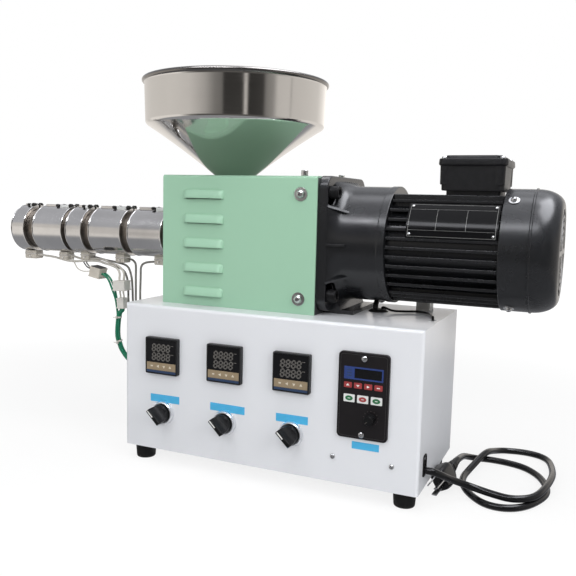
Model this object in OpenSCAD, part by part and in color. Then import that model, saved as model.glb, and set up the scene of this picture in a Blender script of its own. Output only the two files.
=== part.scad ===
// Desktop filament extruder. A gear motor turns a screw in a heated barrel that a hopper feeds,
// and the whole drive stands on a sheet metal control cabinet.
// X runs along the barrel towards the motor, Y to the back and Z up.

/* [Cabinet] */
// Width of the control cabinet, along the machine
cabinet_w = 400; // [380:1:480]
// Depth of the cabinet, front to back
cabinet_d = 190; // [188:1:260]
// Height of the cabinet without its feet
cabinet_h = 192; // [180:1:260]
// Thickness of the cabinet sheet
cabinet_sheet = 2; // [1:0.5:3]
// Outside radius of the cabinet's folded edges
cabinet_bend = 4; // [3.5:0.5:10]
// Height of a rubber foot
foot_h = 20; // [16:1:40]
// Diameter of a foot where it meets the cabinet
foot_top_d = 28; // [26:1:38]
// Diameter of a foot just above its round bottom edge
foot_bottom_d = 25; // [18:1:25]
// Distance of a foot's centre from the cabinet's sides
foot_inset = 19.5; // [19:0.5:40]

/* [Temperature controllers] */
// Side of a controller's square bezel
controller_face = 48; // [46:1:60]
// Depth of the bezel in front of the panel
controller_bezel_t = 7; // [5:0.5:12]
// Side of the controller's case behind the panel
controller_case = 44.6; // [38:0.2:45]
// Length of the case behind the panel
controller_case_l = 60; // [30:1:100]
// Centre of the first controller, from the cabinet's left side
controller_first_x = 60; // [50:1:66]
// Distance from the last controller's centre to the speed controller's centre
controller_to_speed = 89.5; // [80:0.5:100]
// Height of the controllers' centres above the cabinet's bottom
controller_z = 127; // [120:1:140]

/* [Selector switches] */
// Diameter of a selector's bezel ring
selector_d = 29; // [27:0.5:36]
// Depth of the bezel ring in front of the panel
selector_bezel_t = 6; // [5:0.5:10]
// Diameter of the turning knob
selector_knob_d = 24; // [20:0.5:25]
// Reach of the knob's handle in front of the panel
selector_reach = 26; // [20:0.5:36]
// Width of the handle
selector_handle_w = 7; // [5:0.5:12]
// Angle of the handle from upright at rest, to the left
selector_rest_turn = 45; // [0:5:60]
// Diameter of the panel hole for a selector
selector_hole_d = 22.3; // [18:0.1:23]
// Diameter of the knob's shaft
selector_shaft_d = 10; // [6:0.5:14]
// Height of the selectors above the cabinet's bottom
selector_z = 51; // [40:1:60]

/* [Speed controller] */
// Width of the speed controller's face
speed_w = 61; // [58:1:70]
// Height of the face
speed_h = 102; // [98:1:104]
// Thickness of the face plate
speed_t = 4; // [3:0.5:8]
// Distance of the face's centre from the cabinet's right side
speed_margin = 67.7; // [60:0.1:75]
// Height of the face's centre above the cabinet's bottom
speed_z = 109.5; // [100:0.5:115]
// Radius of the face's corners
speed_corner = 5; // [2:0.5:10]
// Diameter of the speed knob
speed_knob_d = 13; // [10:0.5:16]
// Reach of the speed knob in front of the panel
speed_knob_reach = 15; // [12:0.5:20]
// Diameter of the speed knob's shaft
speed_shaft_d = 6; // [4:0.5:8]

/* [Drive cover] */
// Left side of the drive cover, from the cabinet's left side
cover_x = 37; // [20:1:60]
// Distance of the cover's front from the cabinet's front
cover_front = 32; // [20:1:40]
// Length of the cover along the barrel
cover_w = 218; // [200:1:240]
// Depth of the cover, front to back
cover_d = 154; // [152:1:158]
// Height of the cover
cover_h = 169; // [168:1:180]
// Thickness of the cover sheet
cover_sheet = 2; // [1:0.5:3]
// Outside radius of the cover's folded edges
cover_bend = 3.5; // [3.3:0.1:8]
// Number of louvers in the front of the cover
louver_count = 5; // [3:1:5]
// Width of a louver
louver_w = 59; // [40:1:70]
// Distance between neighbouring louvers
louver_pitch = 31.6; // [24:0.2:33]
// How far a louver's hood stands out
louver_rise = 4.5; // [3:0.5:7]
// Left end of the louvers, from the cover's left side
louver_x = 32; // [20:1:50]
// Height of the lowest louver above the cabinet
louver_low_z = 19; // [14:1:26]
// Length of the bearing housing inside the cover
housing_l = 42; // [30:1:60]

/* [Drive] */
// Height of the drive axis above the cabinet
axis_rise = 87; // [86:0.5:95]
// Side of the gear case's flange, front to back
flange_d = 147; // [146:1:160]
// Height of the flange
flange_h = 166; // [150:1:170]
// Thickness of the flange
flange_t = 12; // [8:1:20]
// Half the distance between neighbouring flange bolts
bolt_reach = 63; // [60:0.5:66]
// Length of the blend from flange to gear case
neck_l = 20; // [14:1:30]
// Radius of the gear case
gear_r = 72; // [66:0.5:74]
// Length of the gear case
gear_l = 51; // [30:1:70]
// Radius over the motor's fins
motor_r = 70; // [66:0.5:72]
// Radius at the root of the fins
motor_core_r = 61; // [50:0.5:64]
// Length of the finned motor body
motor_l = 129; // [120:1:160]
// Height of the flat pad on top of the motor, above the drive axis
motor_pad = 63; // [62:0.5:65]
// Distance between neighbouring fins
fin_pitch = 11; // [9:0.5:16]
// Thickness of a fin
fin_t = 3.6; // [2:0.2:5]
// Radius of the fan cover
fan_r = 72; // [71:0.5:76]
// Length of the fan cover
fan_l = 63; // [60:1:80]
// Radius of the flat end of the fan cover
fan_end_r = 54; // [50:1:60]
// Length of the terminal box along the motor
terminal_w = 74; // [60:1:90]
// Depth of the terminal box
terminal_d = 74; // [60:1:90]
// Height of the terminal box without its lid
terminal_h = 34; // [26:1:46]
// Thickness of the lid's edge
terminal_lid_t = 8; // [5:0.5:14]

/* [Hopper] */
// Centre of the hopper, from the cover's left side
hopper_x = 65.4; // [50:0.2:110]
// Radius over the rolled rim
hopper_rim_r = 125.7; // [120:0.1:140]
// Radius of the bowl
hopper_bowl_r = 121; // [100:0.5:123]
// Height of the bowl
hopper_bowl_h = 58; // [40:1:90]
// Height of the cone under the bowl
hopper_cone_h = 69; // [50:1:100]
// Radius of the neck
hopper_neck_r = 25; // [20:0.5:27]
// Thickness of the hopper sheet, measured level
hopper_sheet = 2; // [1:0.2:3]
// Radius of the wire in the rolled rim
hopper_rim_wire = 3; // [2:0.2:4.5]
// Radius of the edge between cone and bowl
hopper_edge_r = 9; // [4:0.5:14]

/* [Barrel] */
// Outside radius of the barrel
barrel_r = 30; // [28:0.5:34]
// Radius of the barrel's bore
barrel_bore_r = 12.5; // [8:0.5:16]
// Length of the barrel outside the cover, without its die
barrel_reach = 280; // [276:1:320]
// Length of the die head
die_l = 27; // [26:1:40]
// Length of the nozzle beyond the die head
nozzle_l = 10; // [4:1:20]
// Radius of the nozzle's opening
nozzle_bore_r = 1.5; // [0.8:0.1:3]
// Thickness of a heater band
band_t = 4; // [3:0.5:6]
// Lengths of the heater bands, from the die towards the cover
band_lengths = [26, 57, 30, 58, 58];
// Gaps after the heater bands, from the die towards the cover
band_gaps = [15.5, 6.5, 12, 11, 33];
// Side of a heater band's terminal box
band_box = 17; // [12:0.5:20]
// Height of a heater band's terminal box
band_box_h = 13; // [10:0.5:18]

/* [Wiring] */
// Diameter of the mains cord
cord_d = 8.5; // [6:0.5:9]
// Width of the cord slot in the right side of the cabinet
slot_w = 10; // [9.5:0.5:14]
// Height of the cord slot
slot_h = 21; // [16:1:26]
// Diameter of a heater wire
heater_wire_d = 4; // [3:0.5:5]
// Diameter of the sensor bundle
sensor_bundle_d = 8; // [6:0.5:10]
// Diameter of the motor's lead
motor_lead_d = 7; // [5:0.5:8]

/* [Hidden] */
$fn = 64;

// Clearance between pieces that fit into each other
fit = 0.3;
// Running clearance of a shaft, on the radius
run_fit = 0.05;
// Overshoot of a cut
cut = 1;

// Stations along the machine, from the cabinet's left side
cover_end_x = cover_x + cover_w;
gear_x = cover_end_x + flange_t + neck_l;
motor_x = gear_x + gear_l;
fan_x = motor_x + motor_l;
machine_end_x = fan_x + fan_l;
barrel_end_x = cover_x - barrel_reach;
die_end_x = barrel_end_x - die_l;
machine_start_x = die_end_x - nozzle_l;

// Drive axis, and the corner frame's shift to the middle of the machine's footprint
axis_y = cover_front + cover_d / 2;
axis_z = cabinet_h + axis_rise;
machine_back_y = axis_y + hopper_rim_r;
origin_x = (machine_start_x + machine_end_x) / 2;
origin_y = (machine_back_y - selector_reach) / 2;

// Colours
white_paint = [0.85, 0.855, 0.875];
green_paint = [0.61, 0.77, 0.67];
black_paint = [0.14, 0.14, 0.15];
black_plastic = [0.08, 0.08, 0.085];
bright_steel = [0.75, 0.75, 0.76];
ceramic = [0.78, 0.74, 0.68];
wire_green = [0.1, 0.48, 0.34];
wire_pale = [0.8, 0.78, 0.74];

// Draws the children, given in the cabinet's corner frame, in the part's own frame
module machine() {
  translate([-origin_x, -origin_y, foot_h]) children();
}

// Draws the children, given around +Z, around the drive axis from station x
module on_axis(x) {
  translate([x, axis_y, axis_z]) rotate([90, 0, 90]) children();
}

// Draws the children, given around +Z, on the cabinet's front with +Z towards the user
module on_panel(x, z) {
  translate([x, 0, z]) rotate([90, 0, 0]) children();
}

// Rectangle with round corners, its middle at the origin
module round_rect(w, h, r) {
  square([w - 2 * r, h], center = true);
  square([w, h - 2 * r], center = true);
  for (x = [-1, 1], y = [-1, 1]) translate([x * (w / 2 - r), y * (h / 2 - r)]) circle(r);
}

// Outline of a folded sheet, flat at the bottom and round at its two upper corners
module fold_outline(w, h, r) {
  square([w, h - r]);
  translate([r, 0]) square([w - 2 * r, h]);
  for (x = [r, w - r]) translate([x, h - r]) circle(r);
}

// Slot with round ends, its middle at the origin and its length along Y
module slot_outline(w, h) {
  square([w, h - w], center = true);
  for (y = [-1, 1]) translate([0, y * (h - w) / 2]) circle(d = w);
}

// Block with folded upper edges and round upright edges
module folded_block(w, d, h, r) {
  intersection() {
    linear_extrude(h) translate([w / 2, d / 2]) round_rect(w, d, r);
    rotate([90, 0, 90]) linear_extrude(w) fold_outline(d, h, r);
  }
}

function unit(v) = v / norm(v);
function sum_to(list, n) = n < 1 ? 0 : list[n - 1] + sum_to(list, n - 1);

// Smooth curve through four points, from the second to the third
function curve_point(a, b, c, d, t) =
  0.5 * (2 * b + (c - a) * t + (2 * a - 5 * b + 4 * c - d) * t * t + (3 * b - a - 3 * c + d) * t * t * t);

// Points along a smooth curve through a route, with steps points a stretch
function smooth_route(route, steps) = let (last = len(route) - 1) concat(
  [for (i = [0 : last - 1], k = [0 : steps - 1])
    curve_point(route[max(i - 1, 0)], route[i], route[i + 1], route[min(i + 2, last)], k / steps)],
  [route[last]]
);

// Closed solid through rings that all have the same number of points
module loft(rings) {
  sides = len(rings[0]);
  last = len(rings) - 1;
  walls = [for (i = [0 : last - 1], k = [0 : sides - 1])
    let (a = i * sides + k)
    let (b = i * sides + (k + 1) % sides)
    each [[a, b, b + sides], [a, b + sides, a + sides]]];
  start_cap = [for (k = [sides - 1 : -1 : 0]) k];
  end_cap = [for (k = [0 : sides - 1]) last * sides + k];
  polyhedron([for (ring = rings) each ring], concat([start_cap], walls, [end_cap]));
}

// Round tube along a path. No stretch of the path runs along up.
module tube(path, d, sides, up) {
  last = len(path) - 1;
  loft([for (i = [0 : last])
    let (along = unit(path[min(i + 1, last)] - path[max(i - 1, 0)]))
    let (side = unit(cross(along, up)))
    let (lift = cross(side, along))
    [for (k = [0 : sides - 1])
      let (turn = 360 * k / sides)
      path[i] + d / 2 * (cos(turn) * side + sin(turn) * lift)]]);
}

// Cabinet

// The controllers are spread evenly between the first one and the speed controller
speed_x = cabinet_w - speed_margin;
controller_pitch = (speed_x - controller_to_speed - controller_first_x) / 2;

function controller_x(i) = controller_first_x + i * controller_pitch;

// Wire holes of the cabinet, as places on the left side and on the top
wire_hole_y = axis_y - 2;
wire_hole_z = cabinet_h - 108;
wire_hole_d = 30;
lead_hole = [cover_end_x + 58, axis_y + 3];
lead_hole_d = 18;
thin_hole = [cabinet_w - 9, axis_y - 32];
thin_hole_d = 10;
slot_y = 28;
slot_z = 29;
speed_case_w = 52;
speed_case_h = 84;
speed_case_l = 50;
selector_thread_l = 24;

module cabinet_shell() {
  color(white_paint) machine() difference() {
    folded_block(cabinet_w, cabinet_d, cabinet_h, cabinet_bend);
    translate([cabinet_sheet, cabinet_sheet, -cut]) folded_block(
      cabinet_w - 2 * cabinet_sheet, cabinet_d - 2 * cabinet_sheet,
      cabinet_h - cabinet_sheet + cut, cabinet_bend - cabinet_sheet
    );
    for (i = [0 : 2]) {
      on_panel(controller_x(i), controller_z) panel_cut()
        square(controller_case + 2 * fit, center = true);
      on_panel(controller_x(i), selector_z) panel_cut() circle(d = selector_hole_d);
    }
    on_panel(speed_x, speed_z) panel_cut()
      square([speed_case_w + 2 * fit, speed_case_h + 2 * fit], center = true);
    translate([cabinet_w - cabinet_sheet - cut, slot_y, slot_z]) rotate([90, 0, 90])
      linear_extrude(cabinet_sheet + 2 * cut) slot_outline(slot_w, slot_h);
    translate([-cut, wire_hole_y, wire_hole_z]) rotate([0, 90, 0])
      cylinder(h = cabinet_sheet + 2 * cut, d = wire_hole_d);
    translate([lead_hole.x, lead_hole.y, cabinet_h - cabinet_sheet - cut])
      cylinder(h = cabinet_sheet + 2 * cut, d = lead_hole_d);
    translate([thin_hole.x, thin_hole.y, cabinet_h - cabinet_sheet - cut])
      cylinder(h = cabinet_sheet + 2 * cut, d = thin_hole_d);
  }
}

// Cuts an outline through the cabinet's front
module panel_cut() {
  translate([0, 0, -cabinet_sheet - cut]) linear_extrude(cabinet_sheet + 2 * cut) children();
}

module cabinet_base() {
  inset = cabinet_sheet + fit;
  color(white_paint) machine() translate([cabinet_w / 2, cabinet_d / 2, 0])
    linear_extrude(cabinet_sheet) round_rect(
      cabinet_w - 2 * inset, cabinet_d - 2 * inset, max(cabinet_bend - inset, fit)
    );
}

// Radius of a foot's bottom edge
foot_edge = 2.5;

module foot(right, back) {
  x = right ? cabinet_w - foot_inset : foot_inset;
  y = back ? cabinet_d - foot_inset : foot_inset;
  color(black_plastic) machine() translate([x, y, -foot_h]) rotate_extrude() {
    polygon([
      [0, 0], [foot_bottom_d / 2 - foot_edge, 0], [foot_bottom_d / 2, foot_edge],
      [foot_top_d / 2, foot_h], [0, foot_h]
    ]);
    translate([foot_bottom_d / 2 - foot_edge, foot_edge]) circle(foot_edge, $fn = 32);
  }
}

// Control panel

// Display window and keys of a controller, from its centre
window_w = 38;
window_h = 24;
window_up = 6;
window_depth = 1;
key_w = 6;
key_h = 4;
key_rise = 0.8;
key_down = -12.5;
controller_corner = 2;

module temperature_controller(i) {
  color(black_plastic) machine() on_panel(controller_x(i), controller_z) {
    difference() {
      linear_extrude(controller_bezel_t) round_rect(controller_face, controller_face, controller_corner);
      translate([-window_w / 2, window_up - window_h / 2, controller_bezel_t - window_depth])
        cube([window_w, window_h, window_depth + cut]);
    }
    for (k = [-1.5 : 1.5])
      translate([k * window_w / 4 - key_w / 2, key_down - key_h / 2, controller_bezel_t])
        cube([key_w, key_h, key_rise]);
    translate([-controller_case / 2, -controller_case / 2, -controller_case_l])
      cube([controller_case, controller_case, controller_case_l]);
  }
}

// Floor of the seat that a selector's knob turns in, in front of the panel
selector_seat = 3;

module selector_bezel(i) {
  color(bright_steel) machine() on_panel(controller_x(i), selector_z) difference() {
    union() {
      cylinder(h = selector_bezel_t, d = selector_d);
      translate([0, 0, -selector_thread_l]) cylinder(h = selector_thread_l, d = selector_hole_d - 2 * fit);
    }
    translate([0, 0, selector_seat])
      cylinder(h = selector_bezel_t, d = selector_knob_d + 4 * fit);
    translate([0, 0, -selector_thread_l - cut])
      cylinder(h = selector_thread_l + selector_bezel_t, d = selector_shaft_d + 2 * run_fit);
  }
}

// Height of the round part of the knob over its seat
selector_disc_t = 6;

module selector_knob(i) {
  disc_low = selector_seat + fit;
  color(black_plastic) machine() on_panel(controller_x(i), selector_z) {
    translate([0, 0, -selector_thread_l]) cylinder(h = selector_thread_l + disc_low, d = selector_shaft_d);
    translate([0, 0, disc_low]) cylinder(h = selector_disc_t, d = selector_knob_d);
    intersection() {
      translate([0, 0, disc_low]) cylinder(h = selector_reach - disc_low, d = selector_knob_d);
      rotate(selector_rest_turn) translate([-selector_handle_w / 2, -selector_knob_d / 2, disc_low])
        cube([selector_handle_w, selector_knob_d, selector_reach - disc_low]);
    }
  }
}

// Fields of the speed controller's face, from its centre
display = [47, 15];
display_at = [-1.7, 25.5];
small_key = [9.6, 6.6];
small_key_pitch = 12.2;
small_key_up = 11.3;
large_key = [13.4, 9.2];
large_key_pitch = 16.4;
large_key_up = -4.2;
speed_knob_at = [10.5, -24.5];
field_depth = 0.8;
speed_knob_taper = 2;

module speed_panel() {
  color(black_plastic) machine() on_panel(speed_x, speed_z) {
    difference() {
      union() {
        linear_extrude(speed_t) round_rect(speed_w, speed_h, speed_corner);
        translate([-speed_case_w / 2, -speed_case_h / 2, -speed_case_l])
          cube([speed_case_w, speed_case_h, speed_case_l]);
      }
      translate([display_at.x, display_at.y, speed_t - field_depth])
        linear_extrude(field_depth + cut) square(display, center = true);
      translate([speed_knob_at.x, speed_knob_at.y, -speed_case_l / 2])
        cylinder(h = speed_case_l, d = speed_shaft_d + 2 * run_fit);
    }
    for (k = [-1.5 : 1.5])
      translate([display_at.x + k * small_key_pitch, small_key_up, speed_t])
        linear_extrude(field_depth) square(small_key, center = true);
    for (k = [-1 : 1])
      translate([display_at.x + k * large_key_pitch, large_key_up, speed_t])
        linear_extrude(field_depth) square(large_key, center = true);
  }
}

module speed_knob() {
  knob_low = speed_t + fit;
  color(black_plastic) machine() on_panel(speed_x, speed_z)
    translate([speed_knob_at.x, speed_knob_at.y, 0]) {
      translate([0, 0, -speed_case_l / 2 + fit])
        cylinder(h = speed_case_l / 2 + knob_low, d = speed_shaft_d);
      translate([0, 0, knob_low])
        cylinder(h = speed_knob_reach - knob_low, d1 = speed_knob_d, d2 = speed_knob_d - speed_knob_taper);
    }
}

// Drive cover

// A louver's hood is part of a round bar with round ends, sunk behind the sheet
louver_bar_r = 9;
louver_sink = louver_bar_r - louver_rise;
louver_half_h = sqrt(louver_bar_r * louver_bar_r - louver_sink * louver_sink);
louver_slot_h = 3;

function louver_z(i) = cabinet_h + louver_low_z + i * louver_pitch;

module louver_bar(r) {
  reach = louver_w - 2 * louver_half_h;
  rotate([0, 90, 0]) cylinder(h = reach, r = r);
  for (x = [0, reach]) translate([x, 0, 0]) sphere(r);
}

// Places the children at the left end of a louver's round bar
module at_louver(i) {
  translate([cover_x + louver_x + louver_half_h, cover_front + louver_sink, louver_z(i)]) children();
}

module drive_cover() {
  color(green_paint) machine() {
    difference() {
      translate([cover_x, cover_front, cabinet_h]) rotate([90, 0, 90])
        linear_extrude(cover_w) fold_outline(cover_d, cover_h, cover_bend);
      translate([cover_x + cover_sheet, cover_front + cover_sheet, cabinet_h - cut]) rotate([90, 0, 90])
        linear_extrude(cover_w)
          fold_outline(cover_d - 2 * cover_sheet, cover_h - cover_sheet + cut, cover_bend - cover_sheet);
      on_axis(cover_x - cut) cylinder(h = cover_sheet + 2 * cut, r = barrel_r + fit);
      translate([cover_x + hopper_x, axis_y, cabinet_h + cover_h - cover_sheet - cut])
        cylinder(h = cover_sheet + 2 * cut, r = hopper_neck_r + fit);
      for (i = [0 : louver_count - 1])
        translate([cover_x + louver_x + louver_half_h, cover_front - cut, louver_z(i) - louver_half_h])
          cube([louver_w - 2 * louver_half_h, cover_sheet + 2 * cut, louver_slot_h]);
    }
    for (i = [0 : louver_count - 1]) intersection() {
      difference() {
        at_louver(i) louver_bar(louver_bar_r);
        at_louver(i) louver_bar(louver_bar_r - cover_sheet);
      }
      translate([cover_x, cover_front - louver_rise, louver_z(i) - louver_half_h + louver_slot_h])
        cube([cover_w, louver_rise, 2 * louver_half_h]);
    }
  }
}

// Screws that hold the cover to the bearing housing
cover_screw_in = 21;
cover_screw_low = 19;
cover_screw_high = 147;
cover_screw_d = 10;
cover_screw_rise = 5;
cover_washer_d = 17;
cover_washer_t = 1.5;
cover_cap_d = 7.5;
cover_cap_rise = 7;
cover_cap_in = 10;

module cover_screws() {
  x = cover_end_x - cover_screw_in;
  color(bright_steel) machine() {
    for (z = [cover_screw_low, cover_screw_high])
      translate([x, cover_front, cabinet_h + z]) rotate([90, 0, 0]) screw_on_washer();
    for (y = [cover_front + cover_cap_in, cover_front + cover_d - cover_cap_in])
      translate([x, y, cabinet_h + cover_h]) cap_screw();
  }
}

module cap_screw() {
  difference() {
    cylinder(h = cover_cap_rise, d = cover_cap_d);
    translate([0, 0, cover_cap_rise / 2]) cylinder(h = cover_cap_rise, d = cover_cap_d / 2, $fn = 6);
  }
}

module screw_on_washer() {
  cylinder(h = cover_washer_t, d = cover_washer_d);
  cylinder(h = cover_washer_t + cover_screw_rise, d = cover_screw_d);
}

module bearing_housing() {
  inset = cover_sheet + fit;
  color(black_paint) machine()
    translate([cover_end_x - housing_l, cover_front + inset, cabinet_h]) rotate([90, 0, 90])
      linear_extrude(housing_l)
        fold_outline(cover_d - 2 * inset, cover_h - inset, cover_bend - cover_sheet);
}

// Drive

bolt_head_d = 16;
bolt_head_h = 12;
bolt_pocket_r = 15;
flange_corner = 17;
neck_core_r = 64;
gear_foot_l = 40;
gear_foot_d = 92;
gear_foot_t = 5;
gear_foot_web_l = 24;
gear_foot_web_h = 26;
gear_lip_l = 9;
gear_lip_rise = 0.8;
gear_rib_t = 5;
gear_rib_reach = 4;

module at_flange_bolts(x) {
  for (y = [-1, 1], z = [-1, 1]) on_axis(x) translate([y * bolt_reach, z * bolt_reach, 0]) children();
}

module gear_case() {
  color(black_paint) machine() {
    difference() {
      union() {
        on_axis(cover_end_x) linear_extrude(flange_t) round_rect(flange_d, flange_h, flange_corner);
        hull() {
          on_axis(cover_end_x + flange_t / 2) linear_extrude(flange_t / 2)
            round_rect(flange_d - flange_corner, flange_h - flange_corner, 2 * flange_corner, $fn = 32);
          on_axis(gear_x) cylinder(h = cut, r = gear_r);
        }
      }
      at_flange_bolts(cover_end_x + flange_t) cylinder(h = neck_l + cut, r = bolt_pocket_r);
    }
    on_axis(cover_end_x + flange_t) cylinder(h = neck_l, r = neck_core_r);
    on_axis(gear_x) cylinder(h = gear_l, r = gear_r);
    on_axis(motor_x - gear_lip_l) cylinder(h = gear_lip_l, r = gear_r + gear_lip_rise);
    for (turn = [0, 180])
      on_axis(cover_end_x + flange_t) rotate(turn) translate([0, -gear_rib_t / 2, 0])
        cube([gear_r + gear_rib_reach, gear_rib_t, neck_l + gear_rib_reach]);
    translate([cover_end_x, axis_y + gear_foot_d / 2, cabinet_h]) rotate([90, 0, 0])
      linear_extrude(gear_foot_d) polygon([
        [0, 0], [gear_foot_l, 0], [gear_foot_l, gear_foot_t], [gear_foot_web_l, gear_foot_t],
        [flange_t, gear_foot_web_h], [0, gear_foot_web_h]
      ]);
  }
}

module flange_bolts() {
  color(black_plastic) machine() at_flange_bolts(cover_end_x + flange_t) difference() {
    cylinder(h = bolt_head_h, d = bolt_head_d);
    translate([0, 0, bolt_head_h / 2]) cylinder(h = bolt_head_h, d = bolt_head_d / 2, $fn = 6);
  }
}

// Cross-section of the finned motor body
module motor_outline() {
  side_fins = floor((motor_pad - fin_t) / fin_pitch);
  circle(motor_core_r);
  intersection() {
    circle(motor_r);
    translate([-motor_r, -motor_r]) square([2 * motor_r, motor_r + motor_pad]);
    union() {
      for (k = [-side_fins : side_fins])
        translate([0, k * fin_pitch]) square([2 * motor_r, fin_t], center = true);
      for (k = [-3 : 3])
        translate([k * fin_pitch, -motor_r / 2]) square([fin_t, motor_r], center = true);
      translate([-terminal_d / 2, 0]) square([terminal_d, motor_pad]);
    }
  }
}

module motor_body() {
  color(black_paint) machine() on_axis(motor_x) linear_extrude(motor_l) motor_outline();
}

lead_block_at = [47, 41];
lead_block_size = [18, 22, 15];

// Terminal block for the motor's leads, on the cabinet behind the drive axis
module lead_block() {
  color(ceramic) machine()
    translate([cabinet_w - lead_block_at.x, axis_y + lead_block_at.y, cabinet_h]) cube(lead_block_size);
}

fan_wall = 2;
fan_skirt = 34;
fan_bead = 1.2;
fan_bead_l = 3;
fan_slot_w = 4;
fan_slot_pitch = 8;
fan_spoke_w = 6;
fan_cavity = 18;

// Outside of the fan cover, drawn as radius and station
module fan_outline(r, l) {
  corner = r - fan_end_r;
  square([r, fan_skirt]);
  square([fan_end_r, l]);
  intersection() {
    translate([fan_end_r, fan_skirt]) scale_arc(corner, l - fan_skirt);
    square([r, l]);
  }
}

// Quarter of a round edge that is as wide as w and as long as l
module scale_arc(w, l) {
  arc_r = (w * w + l * l) / (2 * w);
  intersection() {
    translate([w - arc_r, 0]) circle(arc_r, $fn = 128);
    square([w, l]);
  }
}

module fan_cover() {
  color(black_paint) machine() difference() {
    on_axis(fan_x) union() {
      rotate_extrude($fn = 96) fan_outline(fan_r, fan_l);
      translate([0, 0, fan_skirt - fan_bead_l]) cylinder(h = fan_bead_l, r = fan_r + fan_bead);
    }
    on_axis(machine_end_x - fan_wall - fan_cavity) cylinder(h = fan_cavity, r = fan_end_r - 2 * fan_wall);
    on_axis(machine_end_x - fan_wall - cut) linear_extrude(fan_wall + 2 * cut) difference() {
      for (r = [fan_slot_pitch * 2 : fan_slot_pitch : fan_end_r - fan_slot_pitch]) difference() {
        circle(r);
        circle(r - fan_slot_w);
      }
      square([2 * fan_end_r, fan_spoke_w], center = true);
      square([fan_spoke_w, 2 * fan_end_r], center = true);
    }
  }
}

terminal_corner = 8;
terminal_inset = 6;
terminal_foot_h = 5;
terminal_lid_over = 2.5;
terminal_lid_crown = 4;
terminal_end_gap = 1;
terminal_gland_d = 18;
terminal_gland_l = 14;

module at_terminal() {
  translate([fan_x - terminal_end_gap - terminal_w / 2, axis_y, axis_z + motor_pad]) children();
}

module terminal_box() {
  color(black_plastic) machine() at_terminal() {
    linear_extrude(terminal_foot_h) round_rect(
      terminal_w - 2 * terminal_inset, terminal_d - 2 * terminal_inset, terminal_corner
    );
    translate([0, 0, terminal_foot_h]) linear_extrude(terminal_h - terminal_foot_h)
      round_rect(terminal_w, terminal_d, terminal_corner);
    translate([0, terminal_d / 2 - cut, terminal_h / 2 + terminal_foot_h / 2]) rotate([-90, 0, 0])
      cylinder(h = terminal_gland_l + cut, d = terminal_gland_d);
  }
}

module terminal_lid() {
  color(black_plastic) machine() at_terminal() translate([0, 0, terminal_h]) {
    linear_extrude(terminal_lid_t)
      round_rect(terminal_w + 2 * terminal_lid_over, terminal_d + 2 * terminal_lid_over, terminal_corner);
    translate([0, 0, terminal_lid_t]) linear_extrude(terminal_lid_crown)
      round_rect(terminal_w - 2 * terminal_inset, terminal_d - terminal_inset, terminal_corner);
  }
}

// Hopper and barrel

hopper_neck_l = 16;
hopper_z = cabinet_h + cover_h;

hopper_top = hopper_cone_h + hopper_bowl_h - hopper_rim_wire;
hopper_wall_r = hopper_rim_r - hopper_rim_wire;

// Outside of the hopper, drawn as radius and height, with both open ends longer by over
module hopper_outline(over) {
  corner = [hopper_bowl_r, hopper_cone_h];
  down_cone = unit([hopper_neck_r, 0] - corner);
  up_bowl = unit([hopper_wall_r, hopper_top] - corner);
  half_angle = acos(down_cone * up_bowl) / 2;
  tangent_l = hopper_edge_r / tan(half_angle);
  polygon([
    [0, -hopper_neck_l - over], [hopper_neck_r, -hopper_neck_l - over], [hopper_neck_r, 0],
    corner + tangent_l * down_cone, corner + tangent_l * up_bowl,
    [hopper_wall_r, hopper_top], [hopper_wall_r, hopper_top + over], [0, hopper_top + over]
  ]);
  translate(corner + hopper_edge_r / sin(half_angle) * unit(down_cone + up_bowl))
    circle(hopper_edge_r, $fn = 96);
}

module hopper() {
  color(bright_steel) machine() translate([cover_x + hopper_x, axis_y, hopper_z])
    rotate_extrude($fn = 128) {
      difference() {
        hopper_outline(0);
        translate([-hopper_sheet, 0]) hopper_outline(cut);
      }
      translate([hopper_wall_r, hopper_top]) circle(hopper_rim_wire, $fn = 24);
    }
}

feed_boss_r = hopper_neck_r + 8;
feed_pocket_r = hopper_neck_r - hopper_sheet;

module barrel() {
  color(bright_steel) machine() difference() {
    union() {
      on_axis(barrel_end_x) cylinder(h = cover_end_x - housing_l - barrel_end_x, r = barrel_r);
      translate([cover_x + hopper_x, axis_y, axis_z])
        cylinder(h = cover_h - axis_rise - cover_sheet - fit, r = feed_boss_r);
    }
    on_axis(barrel_end_x - cut)
      cylinder(h = cover_x + hopper_x + feed_pocket_r - barrel_end_x + cut, r = barrel_bore_r);
    translate([cover_x + hopper_x, axis_y, axis_z]) cylinder(h = cover_h, r = feed_pocket_r);
    translate([cover_x + hopper_x, axis_y, hopper_z - hopper_neck_l - fit])
      cylinder(h = cover_h, r = hopper_neck_r + fit);
  }
}

screw_gap = 0.4;
screw_core_r = 8;
screw_lead = 25;
screw_steps = 10;

// Screw in the barrel's bore: a core with one flight, turned step by step along its length
module feed_screw() {
  flight_r = barrel_bore_r - screw_gap;
  length = cover_x + hopper_x + feed_pocket_r - fit - barrel_end_x;
  steps = ceil(screw_steps * length / screw_lead);
  flight = [for (a = [-24, 0, 24]) [flight_r, a]];
  core = [for (a = [70 : 55 : 290]) [screw_core_r, a]];
  color(bright_steel) machine() on_axis(barrel_end_x) loft([for (i = [0 : steps])
    let (z = length * i / steps)
    [for (p = concat(flight, core))
      let (turn = p[1] + 360 * z / screw_lead)
      [p[0] * cos(turn), p[0] * sin(turn), z]]]);
}

nozzle_r = 10;

module die_head() {
  color(bright_steel) machine() difference() {
    union() {
      on_axis(die_end_x) cylinder(h = die_l, r = barrel_r);
      on_axis(machine_start_x) cylinder(h = nozzle_l, r = nozzle_r, $fn = 6);
    }
    on_axis(machine_start_x - cut) cylinder(h = die_l + nozzle_l + 2 * cut, r = nozzle_bore_r);
  }
}

// Heater bands

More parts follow.
